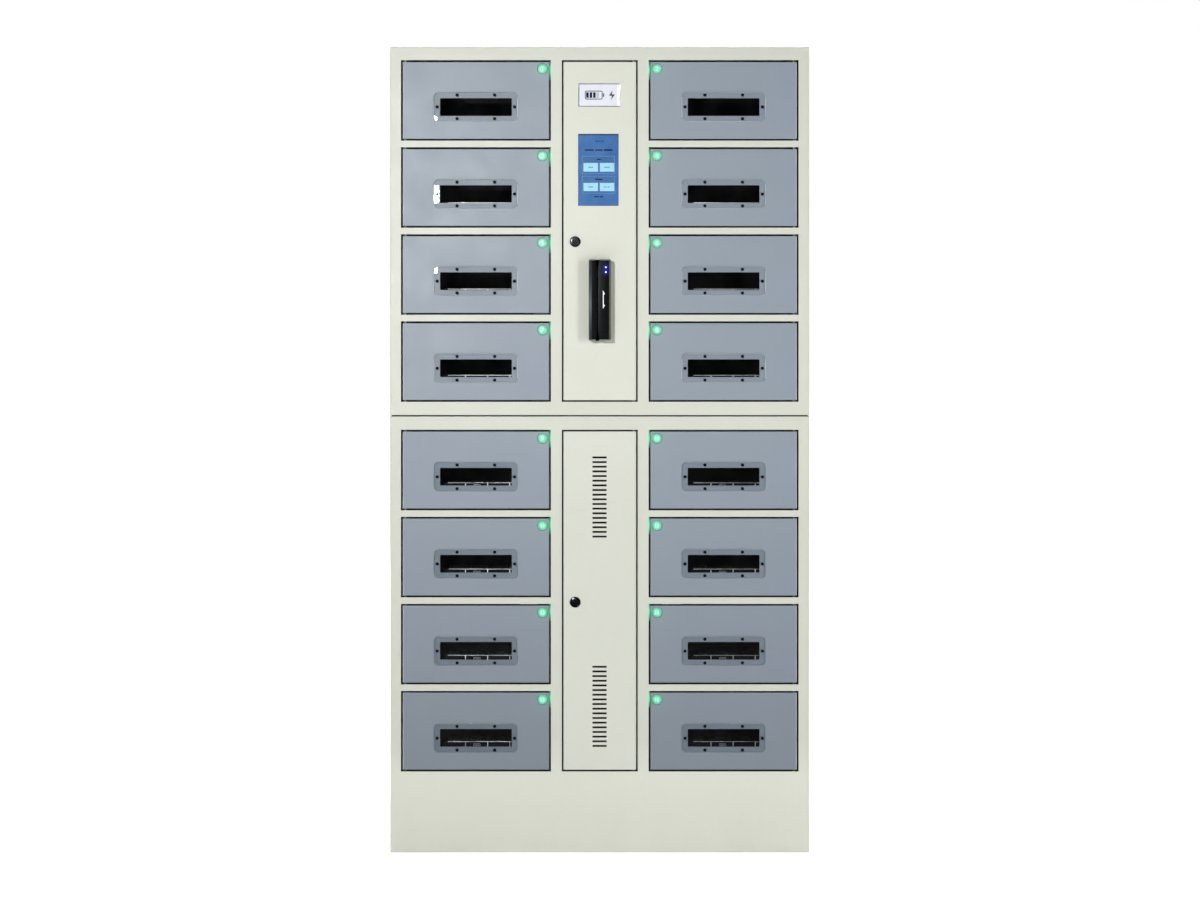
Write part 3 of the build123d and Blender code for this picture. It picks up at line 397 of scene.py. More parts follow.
def perforated(name, base, pitch, hole):
    """Folded aluminium with a staggered field of punched holes."""
    m = Mat(name)
    s = m.n("SeparateXYZ", Vector=m.tc.outputs["Object"])
    v = m.math("DIVIDE", s.outputs[2], pitch * 0.866)
    row = m.math("FLOOR", v)
    odd = m.math("MULTIPLY", m.math("MODULO", m.math("ABSOLUTE", row), 2.0), 0.5)
    u = m.math("ADD", m.math("DIVIDE", s.outputs[1], pitch), odd)
    du = m.math("SUBTRACT", m.math("FRACT", m.math("ADD", u, 500.0)), 0.5)
    dv = m.math("MULTIPLY", m.math("SUBTRACT", m.math("FRACT", m.math("ADD", v, 500.0)), 0.5), 0.866)
    r = m.math("SQRT", m.math("ADD", m.math("MULTIPLY", du, du), m.math("MULTIPLY", dv, dv)))
    nx = m.math("ABSOLUTE", m.n("SeparateXYZ", Vector=m.n("NewGeometry").outputs["Normal"]).outputs[0])
    open_ = m.math("MULTIPLY", m.span(r, hole - 0.03, hole + 0.03, 1.0, 0.0), m.span(nx, 0.8, 0.95, 0.0, 1.0))
    grain = m.noise(400.0, 4.0, 0.6, (1, 0.05, 1))
    col = m.mix(m.span(grain, 0.3, 0.7, 0.0, 1.0), shade(base, 0.88), shade(base, 1.08))
    m.set(Base_Color=m.mix(open_, col, (0.01, 0.01, 0.01)), Metallic=m.math("SUBTRACT", 1.0, open_),
          Roughness=m.span(grain, 0.3, 0.7, 0.32, 0.5), Normal=m.bump(m.math("SUBTRACT", 1.0, open_), 0.6, 0.0006))
    return m.m


def circuit_board(name):
    """Solder mask with traces, pads and a scatter of small components."""
    m = Mat(name)
    cells = m.n("TexVoronoi", Vector=m.coords(), Scale=260.0, feature="F1", distance="CHEBYCHEV")
    trace = m.n("TexVoronoi", Vector=m.coords(), Scale=140.0, feature="DISTANCE_TO_EDGE")
    col = m.mix(m.span(trace.outputs["Distance"], 0.02, 0.05, 1.0, 0.0), (0.012, 0.085, 0.035), (0.05, 0.20, 0.08))
    pad = m.span(cells.outputs["Distance"], 0.10, 0.14, 1.0, 0.0)
    col = m.mix(pad, col, (0.72, 0.70, 0.62))
    m.set(Base_Color=col, Metallic=m.math("MULTIPLY", pad, 0.9), Roughness=m.span(m.noise(60.0), 0.3, 0.7, 0.25, 0.4),
          Normal=m.bump(pad, 0.5, 0.0004))
    return m.m


M["board"] = circuit_board("circuit_board")
M["supply"] = perforated("aluminium_perforated", (0.30, 0.305, 0.31), 0.0062, 0.30)


# ------------------------------------------------------------------ mesh building
def rr(w, h, r, n=6):
    """Rounded rectangle outline, counter-clockwise."""
    r = max(min(r, w / 2 - 1e-6, h / 2 - 1e-6), 1e-6)
    pts = []
    for cx, cz, a0 in ((w / 2 - r, h / 2 - r, 0), (-w / 2 + r, h / 2 - r, 90), (-w / 2 + r, -h / 2 + r, 180), (w / 2 - r, -h / 2 + r, 270)):
        for i in range(n + 1):
            a = math.radians(a0 + 90 * i / n)
            pts.append((cx + r * math.cos(a), cz + r * math.sin(a)))
    return pts


def circle(r, n=40):
    return [(r * math.cos(TAU * i / n), r * math.sin(TAU * i / n)) for i in range(n)]


def hexagon(af, n=24):
    pts = []
    for i in range(n):
        a = TAU * i / n
        k = (a % (TAU / 6)) - TAU / 12
        rad = af / 2 / math.cos(k)
        pts.append((rad * math.cos(a), rad * math.sin(a)))
    return pts


def inset(points, d):
    """A convex outline, counter-clockwise, moved inwards by d."""
    n, out = len(points), []
    for i in range(n):
        p0, p1, p2 = Vector(points[i - 1]), Vector(points[i]), Vector(points[(i + 1) % n])
        e1, e2 = (p1 - p0).normalized(), (p2 - p1).normalized()
        n1, n2 = Vector((-e1.y, e1.x)), Vector((-e2.y, e2.x))
        k = n1 + n2
        k = k / max(k.length_squared, 1e-9) * 2
        out.append(tuple(p1 + k * d))
    return out


class Mesh:
    """Collects closed solids, in metres, and makes one object of them."""

    def __init__(self):
        self.v, self.f, self.mi = [], [], []

    def loft(self, rings, mat=0, cap=True, side_mats=None, closed=False):
        base, n = len(self.v), len(rings[0])
        for ring in rings:
            self.v.extend(ring)
        count = len(rings)
        for i in range(count if closed else count - 1):
            a, b = base + i * n, base + ((i + 1) % count) * n
            for j in range(n):
                k = (j + 1) % n
                self.f.append((a + j, a + k, b + k, b + j))
                self.mi.append(side_mats[i] if side_mats else mat)
        if cap and not closed:
            self.f.append(tuple(base + j for j in range(n)))
            self.f.append(tuple(base + (count - 1) * n + j for j in range(n)))
            self.mi += [mat, mat]

    def prism_y(self, outline, y_back, y_front, at=(0, 0), bevel=0.0, back_bevel=0.0, steps=3, mat=0, shrink=None):
        """Extrudes an XZ outline from y_back to y_front, with rounded front (and back) edges."""
        shrink = shrink or (lambda d: inset(outline, d))
        rings = []
        s = 1 if y_front < y_back else -1

        def ring(points, y):
            return [(at[0] + x, y, at[1] + z) for x, z in points]

        if back_bevel:
            for i in range(steps):
                a = math.pi / 2 * i / steps
                rings.append(ring(shrink(back_bevel * (1 - math.sin(a))), y_back - s * back_bevel * (1 - math.cos(a))))
            rings.append(ring(outline, y_back - s * back_bevel))
        else:
            rings.append(ring(outline, y_back))
        if bevel:
            for i in range(steps + 1):
                a = math.pi / 2 * i / steps
                rings.append(ring(shrink(bevel * (1 - math.cos(a))), y_front + s * bevel * (1 - math.sin(a))))
        else:
            rings.append(ring(outline, y_front))
        self.loft(rings, mat)

    def box(self, lo, hi, bevel=0.0, mat=0, steps=2):
        """Box with all edges rounded."""
        w, h = abs(hi[0] - lo[0]), abs(hi[2] - lo[2])
        cx, cz = (lo[0] + hi[0]) / 2, (lo[2] + hi[2]) / 2
        y0, y1 = max(lo[1], hi[1]), min(lo[1], hi[1])
        bevel = min(bevel, w / 2.2, h / 2.2, (y0 - y1) / 2.2)
        if bevel <= 0:
            self.prism_y([(w / 2, h / 2), (-w / 2, h / 2), (-w / 2, -h / 2), (w / 2, -h / 2)], y0, y1, (cx, cz), mat=mat)
            return
        self.prism_y(rr(w, h, bevel, 3), y0, y1, (cx, cz), bevel, bevel, steps, mat, shrink=lambda d: rr(w - 2 * d, h - 2 * d, max(bevel - d, 1e-5), 3))

    def lathe_y(self, profile, at=(0, 0), n=40, mat=0, mats=None):
        """Turned about the Y axis through at. profile is (radius, y) from one closed end to the other."""
        rings = [[(at[0] + x, y, at[1] + z) for x, z in circle(max(r, 1e-6), n)] for r, y in profile]
        self.loft(rings, mat, True, mats)

    def lathe_z(self, profile, at=(0, 0), n=24, mat=0):
        self.loft([[(at[0] + x, at[1] + y, z) for x, y in circle(max(r, 1e-6), n)] for r, z in profile], mat)

    def lathe_x(self, profile, at=(0, 0), n=24, mat=0):
        self.loft([[(x_, at[0] + y, at[1] + z) for y, z in circle(max(r, 1e-6), n)] for r, x_ in profile], mat)

    def tube(self, points, r, n=10, mat=0):
        """Round tube along a smooth path, with closed ends."""
        pts = [Vector(p) for p in points]
        rings, up = [], None
        for i, p in enumerate(pts):
            t = (pts[min(i + 1, len(pts) - 1)] - pts[max(i - 1, 0)]).normalized()
            if up is None:
                up = t.orthogonal().normalized()
            up = (up - t * up.dot(t)).normalized()
            w = t.cross(up)
            rings.append([tuple(p + (up * math.cos(TAU * k / n) + w * math.sin(TAU * k / n)) * r) for k in range(n)])
        self.loft(rings, mat)

    def make(self, name, mats, body=None, replaces=(), smooth=35.0, weld=True):
        me = bpy.data.meshes.new(name)
        me.from_pydata(self.v, [], self.f)
        for m in mats:
            me.materials.append(M[m] if isinstance(m, str) else m)
        me.polygons.foreach_set("material_index", self.mi)
        bm = bmesh.new()
        bm.from_mesh(me)
        bmesh.ops.remove_doubles(bm, verts=bm.verts, dist=1e-7)
        bmesh.ops.dissolve_degenerate(bm, edges=bm.edges, dist=1e-7)
        bmesh.ops.recalc_face_normals(bm, faces=bm.faces)
        bm.to_mesh(me)
        bm.free()
        me.shade_smooth()
        me.set_sharp_from_angle(angle=math.radians(smooth))
        o = bpy.data.objects.new(name, me)
        bpy.context.scene.collection.objects.link(o)
        if body:
            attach(o, body)
        if replaces:
            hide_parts(*replaces)
        return o


def text_solids(mesh, text, size, at, y_back, y_front, mat=0, squeeze=1.0):
    """Adds generic numerals, as a thin raised solid, centred on at."""
    cu = bpy.data.curves.new("numerals", "FONT")
    cu.body, cu.size, cu.align_x, cu.align_y = text, size, "CENTER", "CENTER"
    cu.extrude, cu.resolution_u = abs(y_back - y_front) / 2, 5
    ob = bpy.data.objects.new("numerals", cu)
    bpy.context.scene.collection.objects.link(ob)
    bpy.context.view_layer.update()
    dg = bpy.context.evaluated_depsgraph_get()
    me = bpy.data.meshes.new_from_object(ob.evaluated_get(dg))
    xs, ys = [v.co.x for v in me.vertices], [v.co.y for v in me.vertices]
    cx, cy = (min(xs) + max(xs)) / 2, (min(ys) + max(ys)) / 2
    ym = (y_back + y_front) / 2
    base = len(mesh.v)
    for v in me.vertices:
        mesh.v.append((at[0] + (v.co.x - cx) * squeeze, ym - v.co.z, at[1] + v.co.y - cy))
    for p in me.polygons:
        mesh.f.append(tuple(base + i for i in p.vertices))
        mesh.mi.append(mat)
    bpy.data.objects.remove(ob)
    bpy.data.curves.remove(cu)
    bpy.data.meshes.remove(me)


# ------------------------------------------------------------------ finishes of the CAD nodes that stay
FINISH = {
    "upper_face_frame": "cream", "lower_face_frame": "cream", "upper_carcass": "cream_top", "lower_carcass": "cream_top", "rear_panels": "cream_top",
    "bay_walls": "inner", "compartment_shelves": "inner", "cabinet_fasteners": "zinc", "hinge_pins": "pin", "electric_locks": "black",
    "lamp_boards": "board", "door_bumpers": "rubber", "charging_strips": "rail", "socket_modules": "module", "power_supplies": "supply",
    "lock_controller": "grey_plastic", "mains_inlet": "black", "upper_service_door": "cream_door", "lower_service_door": "cream_vent",
    "upper_lock_barrel": "chrome", "lower_lock_barrel": "ring_black", "upper_lock_plug": "plug", "lower_lock_plug": "plug",
}
for n in DOORS:
    FINISH[f"door_{n:02d}"] = "grey"
for node, finish in FINISH.items():
    me = NODES[node].data
    me.materials.clear()
    me.materials.append(M[finish])

# ------------------------------------------------------------------ windows
SCREW_AT = [(-40.3, 25.4), (40.3, 25.4), (-40.3, -25.4), (40.3, -25.4), (-83.0, 0.0), (83.0, 0.0)]


# how far each pane's left and right ends lean back, in degrees, and how much they bow from top to bottom, in mm:
# no two panes are drawn down alike, and only some catch the light
LEAN = {1: (2.75, 1.0, 0.72), 3: (2.7, 1.0, 0.42), 5: (2.6, 0.9, 0.80)}


def pane(n):
    """Clear sheet whose ends are drawn down by their single screws, so that they lean back a little."""
    lo, hi = WINDOWS[n]
    cx, cz = (lo.x + hi.x) / 2, (lo.z + hi.z) / 2
    w, h, r, t = hi.x - lo.x, hi.z - lo.z, 10 * MM, 2.6 * MM
    left, right, bow = LEAN.get(n, (0.55 + 0.03 * (n * 7 % 5), 0.5 + 0.04 * (n * 3 % 5), 0.12 + 0.02 * (n % 4)))
    left, right = math.tan(math.radians(left)), math.tan(math.radians(right))
    knee, ease = w / 2 - {1: 6.0, 5: 6.5}.get(n, 10.5) * MM, 1.2 * MM
    m = Mesh()

    def lift(x):
        lean, d = (left if x < 0 else right), abs(x) - knee
        if d <= -ease:
            return 0.0
        if d < ease:
            return lean * (d + ease) ** 2 / (4 * ease)
        return lean * d

    def arch(x, z):
        return bow * MM * (z / (h / 2)) ** 2 * min(abs(x) / knee, 1.0) ** 2

    top = max(lift(-w / 2), lift(w / 2)) + bow * MM
    bevel = 0.8 * MM

    def height_at(x, shrink):
        hw, hh, rad = w / 2 - shrink, h / 2 - shrink, r - shrink
        ax = min(abs(x), hw)
        if ax <= hw - rad:
            return hh
        return hh - rad + math.sqrt(max(rad * rad - (ax - (hw - rad)) ** 2, 0.0))

    marks = [i / 24 for i in range(-24, 25)]
    marks += [s * (knee + k * MM) / (w / 2) for s in (-1, 1) for k in (-6, -4, -2, -1, 0, 1, 2, 3, 4, 5.5, 7)]
    marks += [s * (w / 2 - r + r * math.sin(math.radians(a))) / (w / 2) for s in (-1, 1) for a in (0, 15, 30, 42, 53, 63, 71, 78, 84, 90)]
    xs = []
    for x in sorted(marks):
        if not xs or x - xs[-1] > 0.0022:
            xs.append(x)
    xs[-1] = 1.0
    vs = [-1.0, -0.85, -0.65, -0.4, -0.15, 0.15, 0.4, 0.65, 0.85, 1.0]
    nx, nv = len(xs), len(vs)

    def point(i, j, shrink, up):
        x = xs[i] * (w / 2 - shrink)
        z = vs[j] * height_at(x, shrink)
        xo = xs[i] * w / 2
        return (cx + x, YF - up - (top - lift(xo) - arch(xo, z)), cz + z)

    def grid(shrink, up):
        base = len(m.v)
        m.v.extend(point(i, j, shrink, up) for j in range(nv) for i in range(nx))
        return base

    around = [(i, 0) for i in range(nx)] + [(nx - 1, j) for j in range(1, nv)] + [(i, nv - 1) for i in range(nx - 2, -1, -1)] + [(0, j) for j in range(nv - 2, 0, -1)]

    def loop(shrink, up):
        base = len(m.v)
        m.v.extend(point(i, j, shrink, up) for i, j in around)
        return [base + k for k in range(len(around))]

    back, front = grid(0.0, 0.0), grid(bevel, t)
    for base in (back, front):
        for j in range(nv - 1):
            for i in range(nx - 1):
                m.f.append((base + j * nx + i, base + j * nx + i + 1, base + (j + 1) * nx + i + 1, base + (j + 1) * nx + i))
                m.mi.append(0)
    bands = [[back + j * nx + i for i, j in around], loop(0.0, t - bevel), loop(bevel * 0.3, t - bevel * 0.3), [front + j * nx + i for i, j in around]]
    for a, b in zip(bands, bands[1:]):
        for k in range(len(around)):
            q = (k + 1) % len(around)
            m.f.append((a[k], a[q], b[q], b[k]))
            # doors 1 to 8: the sheet's vertical end faces take a pale painted highlight, where the ends catch the light
            m.mi.append(2 if n <= 8 and around[k][0] == around[q][0] else 1)
    o = m.make(f"pane_{n:02d}", ["pane_upper_rows_lit", "pane_edge_upper_rows_lit", "pane_end_painted_highlight"] if n <= 8 else ["pane", "pane_edge"], BODY_OF[f"window_{n:02d}"], [f"window_{n:02d}"], smooth=14)

    s = Mesh()
    face = YF - t - top
    for a, b in SCREW_AT:
        at = (cx + a * MM, cz + b * MM)
        y0 = face if abs(a) < 60 else YF - t - (top - lift(a * MM))
        prof = [(3.4, 0.0), (3.4, 0.22), (3.05, 0.26), (3.0, 0.5), (2.85, 0.95), (2.5, 1.3), (2.0, 1.52), (1.45, 1.62)]
        rings = [[(at[0] + x, y0 - u * MM, at[1] + z) for x, z in circle(rad * MM, 24)] for rad, u in prof]
        rings += [[(at[0] + x, y0 - u * MM, at[1] + z) for x, z in hexagon(af * MM)] for af, u in ((2.3, 1.58), (2.05, 1.5), (2.0, 0.55))]
        s.loft(rings, 0)
        s.prism_y(hexagon(5.5 * MM), YF + 1.5 * MM, YF + 3.9 * MM, at, 0.35 * MM, mat=1)
        s.lathe_y([(1.5 * MM, YF + 3.0 * MM), (1.5 * MM, YF + 5.2 * MM), (1.2 * MM, YF + 5.5 * MM)], at, 16, 1)
    s.make(f"pane_screws_{n:02d}", ["black_screw", "zinc"], BODY_OF[f"window_{n:02d}"])
    return o


for n in DOORS:
    pane(n)

# ------------------------------------------------------------------ number lamps
LAMPS = {}
for n in DOORS:
    x_in, _, _, top = opening(n)
    LAMPS[n] = (x_in + side_of(n) * 18.0 * MM, top - 18.6 * MM)
first = True
for n, at in LAMPS.items():
    m = Mesh()
    prof = [(9.4, 12.0), (9.4, 8.0), (10.8, 8.0), (10.8, 0.35), (10.55, -0.05), (10.0, -0.22), (9.3, -0.16), (9.0, -0.02), (8.2, -0.12), (7.2, -0.2), (5.8, -0.28), (4.0, -0.36), (1.5, -0.42), (0.0, -0.43)]
    m.lathe_y([(r * MM, YF + y * MM) for r, y in prof], at, 56, mats=[2] * 7 + [0] * 6)
    text_solids(m, str(n), 12.5 * MM if n < 10 else 10.8 * MM, at, YF + 0.0 * MM, YF - 0.58 * MM, 1, 1.0 if n < 10 else 0.92)
    o = m.make(f"number_lamp_{n:02d}", ["lens", "digit", "lens_rim"], "cabinet", ["lamp_lenses"], smooth=40)
    a = o.data.attributes.new("spill", "FLOAT", "POINT")
    a.data.foreach_set("value", [1.12 - 0.75 * min(math.hypot(v.co.x - at[0], v.co.z - at[1]) / (9.0 * MM), 1.0) ** 4 for v in o.data.vertices])

# a painted glow on a strip at the board's edge, seen through the slit between door and frame beside each lamp, standing
# in for the lamp's light leaking past the door
gl = Mat("lamp_spill")
att = gl.n("Attribute", attribute_name="spill").outputs["Fac"]
gl.set(Base_Color=(0.05, 0.20, 0.10), Roughness=gl.span(gl.noise(300.0), 0.3, 0.7, 0.4, 0.6), Emission_Color=(0.045, 0.42, 0.19),
       Emission_Strength=gl.math("MULTIPLY", att, 2.0), Normal=gl.bump(gl.noise(500.0), 0.2, 0.0001))
for n, at in LAMPS.items():
    x_in, s = opening(n)[0], side_of(n)
    m = Mesh()
    zs = [at[1] + (i - 10) * 2.1 * MM for i in range(21)]
    x0, x1 = x_in + s * 0.55 * MM, x_in + s * 3.9 * MM
    rings = [[(x0, YF + 17.6 * MM, z), (x1, YF + 17.6 * MM, z), (x1, YF + 19.6 * MM, z), (x0, YF + 19.6 * MM, z)] for z in zs]
    m.loft(rings)
    o = m.make(f"lamp_gap_painted_glow_{n:02d}", [gl.m], "cabinet")
    a = o.data.attributes.new("spill", "FLOAT", "POINT")
    a.data.foreach_set("value", [math.exp(-((v.co.z - at[1]) / (15 * MM)) ** 2) for v in o.data.vertices])

# ------------------------------------------------------------------ touchscreen
SX = (SCREEN_LO.x + SCREEN_HI.x) / 2
SZ = (SCREEN_LO.z + SCREEN_HI.z) / 2
SW, SH = 86.4 * MM, 154.0 * MM
body = "upper_bay_door"
m = Mesh()
m.prism_y(rr(SW, SH, 0.8 * MM), YF + 1.5 * MM, YF + 1.15 * MM, (SX, SZ), mat=0)


def bar(x0, x1, z0, z1, y, mat, r=0.6, t=0.12):
    """Flat lit shape on the screen: offsets in mm from its centre, front face y mm behind the front plane."""
    w, h = (x1 - x0) * MM, (z1 - z0) * MM
    rad = min(r * MM, w / 2.01, h / 2.01)
    m.prism_y(rr(w, h, rad, 5), YF + (y + t) * MM, YF + y * MM, (SX + (x0 + x1) / 2 * MM, SZ + (z0 + z1) / 2 * MM), mat=mat)


def words(cx, cz, widths, h, mat, y=0.86, space=1.5):
    """Placeholder for a line of writing: plain bars, no letters."""
    total = sum(widths) + space * (len(widths) - 1)
    x = cx - total / 2
    for w in widths:
        bar(x, x + w, cz - h / 2, cz + h / 2, y, mat, h / 2)
        x += w + space


# a black bezel line round the display, widened at the top and the left as painted shade from the cutout's lip
bar(-43.2, 43.2, 74.4, 77.0, 1.03, 6, 0.3)
bar(-43.2, -42.3, -77.0, 77.0, 1.03, 6, 0.3)
bar(42.7, 43.2, -77.0, 77.0, 1.03, 6, 0.2)
bar(-43.2, 43.2, -77.0, -76.3, 1.03, 6, 0.3)
bar(-35.0, 35.0, -8.5, 29.7, 1.03, 2, 1.0)
bar(-34.4, 34.4, -7.9, 29.1, 0.93, 1, 0.8)
bar(-35.0, 35.0, -50.4, -13.4, 1.03, 2, 1.0)
bar(-34.4, 34.4, -49.8, -14.0, 0.93, 1, 0.8)
words(0.6, 42.6, [20.0, 16.0, 19.0], 3.2, 4, 1.03, 2.2)
words(2.5, 61.8, [5.5, 3.6, 6.0], 1.5, 4, 1.03)
words(1.0, 22.2, [9.0], 2.2, 4, 0.82)
words(1.0, -20.4, [17.0], 2.4, 4, 0.82)
words(0.6, -57.8, [11.0, 7.0], 2.3, 4, 1.03)
for z0, z1 in ((-3.8, 14.9), (-45.6, -28.0)):
    for x0, x1 in ((-32.0, -0.7), (3.1, 34.0)):
        bar(x0, x1, z0, z1, 0.80, 3, 0.7)
for (cx, cz), ws in {(-16.3, 5.5): [11.0], (18.5, 5.5): [12.5], (-16.3, -36.8): [10.5], (18.5, -36.8): [6.0, 6.5]}.items():
    words(cx, cz, ws, 2.0, 5, 0.70)
m.make("screen_display", ["screen_blue", "screen_panel", "screen_line", "screen_button", "screen_ink", "screen_icon", "black"], body, ["touchscreen"], smooth=30)
m = Mesh()
m.prism_y(rr(SW, SH, 0.8 * MM), YF + 0.62 * MM, YF + 0.5 * MM, (SX, SZ))
m.make("screen_cover_glass", ["glass"], body)
m = Mesh()
ring = []
for w, h, y in ((SW + 0.8 * MM, SH + 0.8 * MM, 1.5), (SW + 0.8 * MM, SH + 0.8 * MM, 0.45), (SW - 0.9 * MM, SH - 0.9 * MM, 0.40), (SW - 0.9 * MM, SH - 0.9 * MM, 0.48),
                (SW - 0.1 * MM, SH - 0.1 * MM, 0.48), (SW - 0.1 * MM, SH - 0.1 * MM, 1.5)):
    ring.append([(SX + x, YF + y * MM, SZ + z) for x, z in rr(w, h, 1.0 * MM, 5)])
m.loft(ring, closed=True)
m.make("screen_gasket", ["screen_border"], body)
m = Mesh()
b0 = SCREEN_HI.y
m.box((SX - 50 * MM, YF + 1.6 * MM, SZ - 84 * MM), (SX + 50 * MM, YF + 10.5 * MM, SZ + 84 * MM), 1.0 * MM, 0)
for s in (-1, 1):
    for t in (-1, 1):
        m.box((SX + s * 50 * MM - s * 12 * MM, YF + 10.3 * MM, SZ + t * 78 * MM - 4 * MM), (SX + s * 50 * MM, YF + 11.4 * MM, SZ + t * 78 * MM + 4 * MM), 0.3 * MM, 0)
        m.lathe_y([(2.6 * MM, YF + 11.3 * MM), (2.6 * MM, YF + 12.5 * MM), (2.0 * MM, YF + 13.2 * MM)], (SX + s * 43 * MM, SZ + t * 78 * MM), 20, 1)
m.make("screen_back_can", ["steel", "zinc"], body)
m = Mesh()
m.box((SX - 40 * MM, YF + 10.6 * MM, SZ - 60 * MM), (SX + 40 * MM, b0 - 0.4 * MM, SZ + 60 * MM), 2.4 * MM, 0, 4)
for i in range(14):
    z = SZ - 38 * MM + i * 5.4 * MM
    m.box((SX - 26 * MM, b0 - 1.4 * MM, z), (SX + 26 * MM, b0, z + 2.2 * MM), 0.5 * MM, 0)
for i, (w, mat) in enumerate(((14, 1), (14, 1), (16, 2), (9, 1))):
    x = SX - 30 * MM + i * 19 * MM
    m.box((x - w / 2 * MM, YF + 15 * MM, SZ - 63 * MM), (x + w / 2 * MM, YF + 22 * MM, SZ - 59 * MM), 0.5 * MM, mat)
m.make("screen_computer", ["grey_plastic", "steel", "black"], body)

# ------------------------------------------------------------------ name plate: rimmed plate with a battery and a bolt, no lettering
PX, PZ = (PLATE_LO.x + PLATE_HI.x) / 2, (PLATE_LO.z + PLATE_HI.z) / 2
pw, ph = PLATE_HI.x - PLATE_LO.x, PLATE_HI.z - PLATE_LO.z
m = Mesh()
ring = []
for d, y in ((0.0, 0.0), (0.0, 1.12), (0.12, 1.2), (0.35, 1.2), (0.6, 1.12), (1.75, 0.82), (1.9, 0.76), (1.9, 0.0)):
    ring.append([(PX + x, YF - y * MM, PZ + z) for x, z in rr(pw - 2 * d * MM, ph - 2 * d * MM, max(1.4 - d, 0.3) * MM, 6)])
m.loft(ring, 1, closed=True)
m.prism_y(rr(pw - 3.9 * MM, ph - 3.9 * MM, 0.4 * MM), YF, YF - 0.8 * MM, (PX, PZ), mat=0)


def flat(outline, dx, dz, mat, y0=0.75, y1=0.92):
    m.prism_y([(x * MM, z * MM) for x, z in outline], YF - y0 * MM, YF - y1 * MM, (PX + dx * MM, PZ + dz * MM), mat=mat)


def ring_shape(w, h, r, line, dx, dz, mat):
    o, i = rr(w * MM, h * MM, r * MM, 6), rr((w - 2 * line) * MM, (h - 2 * line) * MM, max(r - line, 0.2) * MM, 6)
    rs = [[(PX + dx * MM + x, YF - y * MM, PZ + dz * MM + z) for x, z in pts] for pts, y in ((o, 0.75), (o, 0.92), (i, 0.92), (i, 0.75))]
    m.loft(rs, mat, closed=True)


ring_shape(38.0, 19.0, 3.2, 1.9, -12.0, 0.0, 2)
flat(rr(2.6, 8.0, 0.8), 9.0, 0.0, 2)
for i in range(4):
    flat(rr(5.6, 12.2, 0.9), -25.4 + i * 7.4, 0.0, 3 if i < 3 else 4)
flat([(1.6, 10.5), (-6.4, -1.4), (-0.6, -1.4)], 27.0, 0.0, 2)
flat([(-1.6, -10.5), (6.4, 1.4), (0.6, 1.4)], 27.0, 0.0, 2)
flat([(-0.62, -1.5), (0.62, 1.5), (-3.2, 1.5), (-3.2, -1.5)][::-1], 27.6, 0.0, 2)
# a white margin at the plate's right edge: painted highlight where the rim faces the light
flat(rr(4.4, 45.0, 0.3), 40.6, 0.0, 5, 0.75, 0.9)
m.make("name_plate_face", ["plate", "silver", "print_dark", "screen_ink", "silver", "plate_right_painted_highlight"], body, ["name_plate"], smooth=35)

# ------------------------------------------------------------------ card reader
RX, RZ = (READER_LO.x + READER_HI.x) / 2, (READER_LO.z + READER_HI.z) / 2
rw, rh, rd = READER_HI.x - READER_LO.x, READER_HI.z - READER_LO.z, YF - READER_LO.y
slot_x, half = -4.9 * MM, 0.7 * MM
m = Mesh()
m.prism_y(rr(rw, rh, 3.0 * MM), YF, YF - 7 * MM, (RX, RZ), 0.0)
x0, x1, z0, z1 = -rw / 2, rw / 2, -rh / 2, rh / 2


def arc(cx, cz, r, a0, a1, n=5):
    return [(cx + r * math.cos(math.radians(a0 + (a1 - a0) * i / n)), cz + r * math.sin(math.radians(a0 + (a1 - a0) * i / n))) for i in range(n + 1)]


r = 3.2 * MM
left = arc(x0 + r, z0 + r, r, 180, 270) + [(slot_x - 4.2 * MM, z0), (slot_x - half, z0 + 18 * MM), (slot_x - half, z1 - 18 * MM), (slot_x - 4.2 * MM, z1)] + arc(x0 + r, z1 - r, r, 90, 180)
right = [(slot_x + 4.2 * MM, z0)] + arc(x1 - r, z0 + r, r, 270, 360) + arc(x1 - r, z1 - r, r, 0, 90) + [(slot_x + 4.2 * MM, z1), (slot_x + half, z1 - 18 * MM), (slot_x + half, z0 + 18 * MM)]


def half_block(points, x_slot, x_out):
    """Block with a broad bevel at its outer side and its ends, and a small one along the slot."""
    rings = []
    for dx, dz, ds, y in ((0, 0, 0, 7.0 * MM - rd), (0, 0, 0, 2.3 * MM), (0.15, 0.15, 0, 1.9 * MM), (0.5, 0.4, 0, 1.65 * MM), (4.4, 3.4, 0.15, 0.75 * MM), (4.8, 3.8, 0.5, 0.52 * MM), (5.4, 4.3, 0.9, 0.45 * MM)):
        y = -7.0 * MM if y < 0 else -rd + y
        ring = []
        for x, z in points:
            k = (x - x_slot) / (x_out - x_slot)
            x += (-dx * k + ds * (1 - k)) * MM * (1 if x_out > x_slot else -1)
            ring.append((RX + x, YF + y, RZ + z * (1 - dz * MM / (rh / 2))))
        rings.append(ring)
    m.loft(rings, 0)


half_block(left, slot_x - half, x0)
half_block(right, slot_x + half, x1)
for s in (-1, 1):
    m.lathe_y([(2.0 * MM, YF), (2.0 * MM, YF + 4.6 * MM), (1.6 * MM, YF + 5.0 * MM)], (RX, RZ + s * 62 * MM), 16)

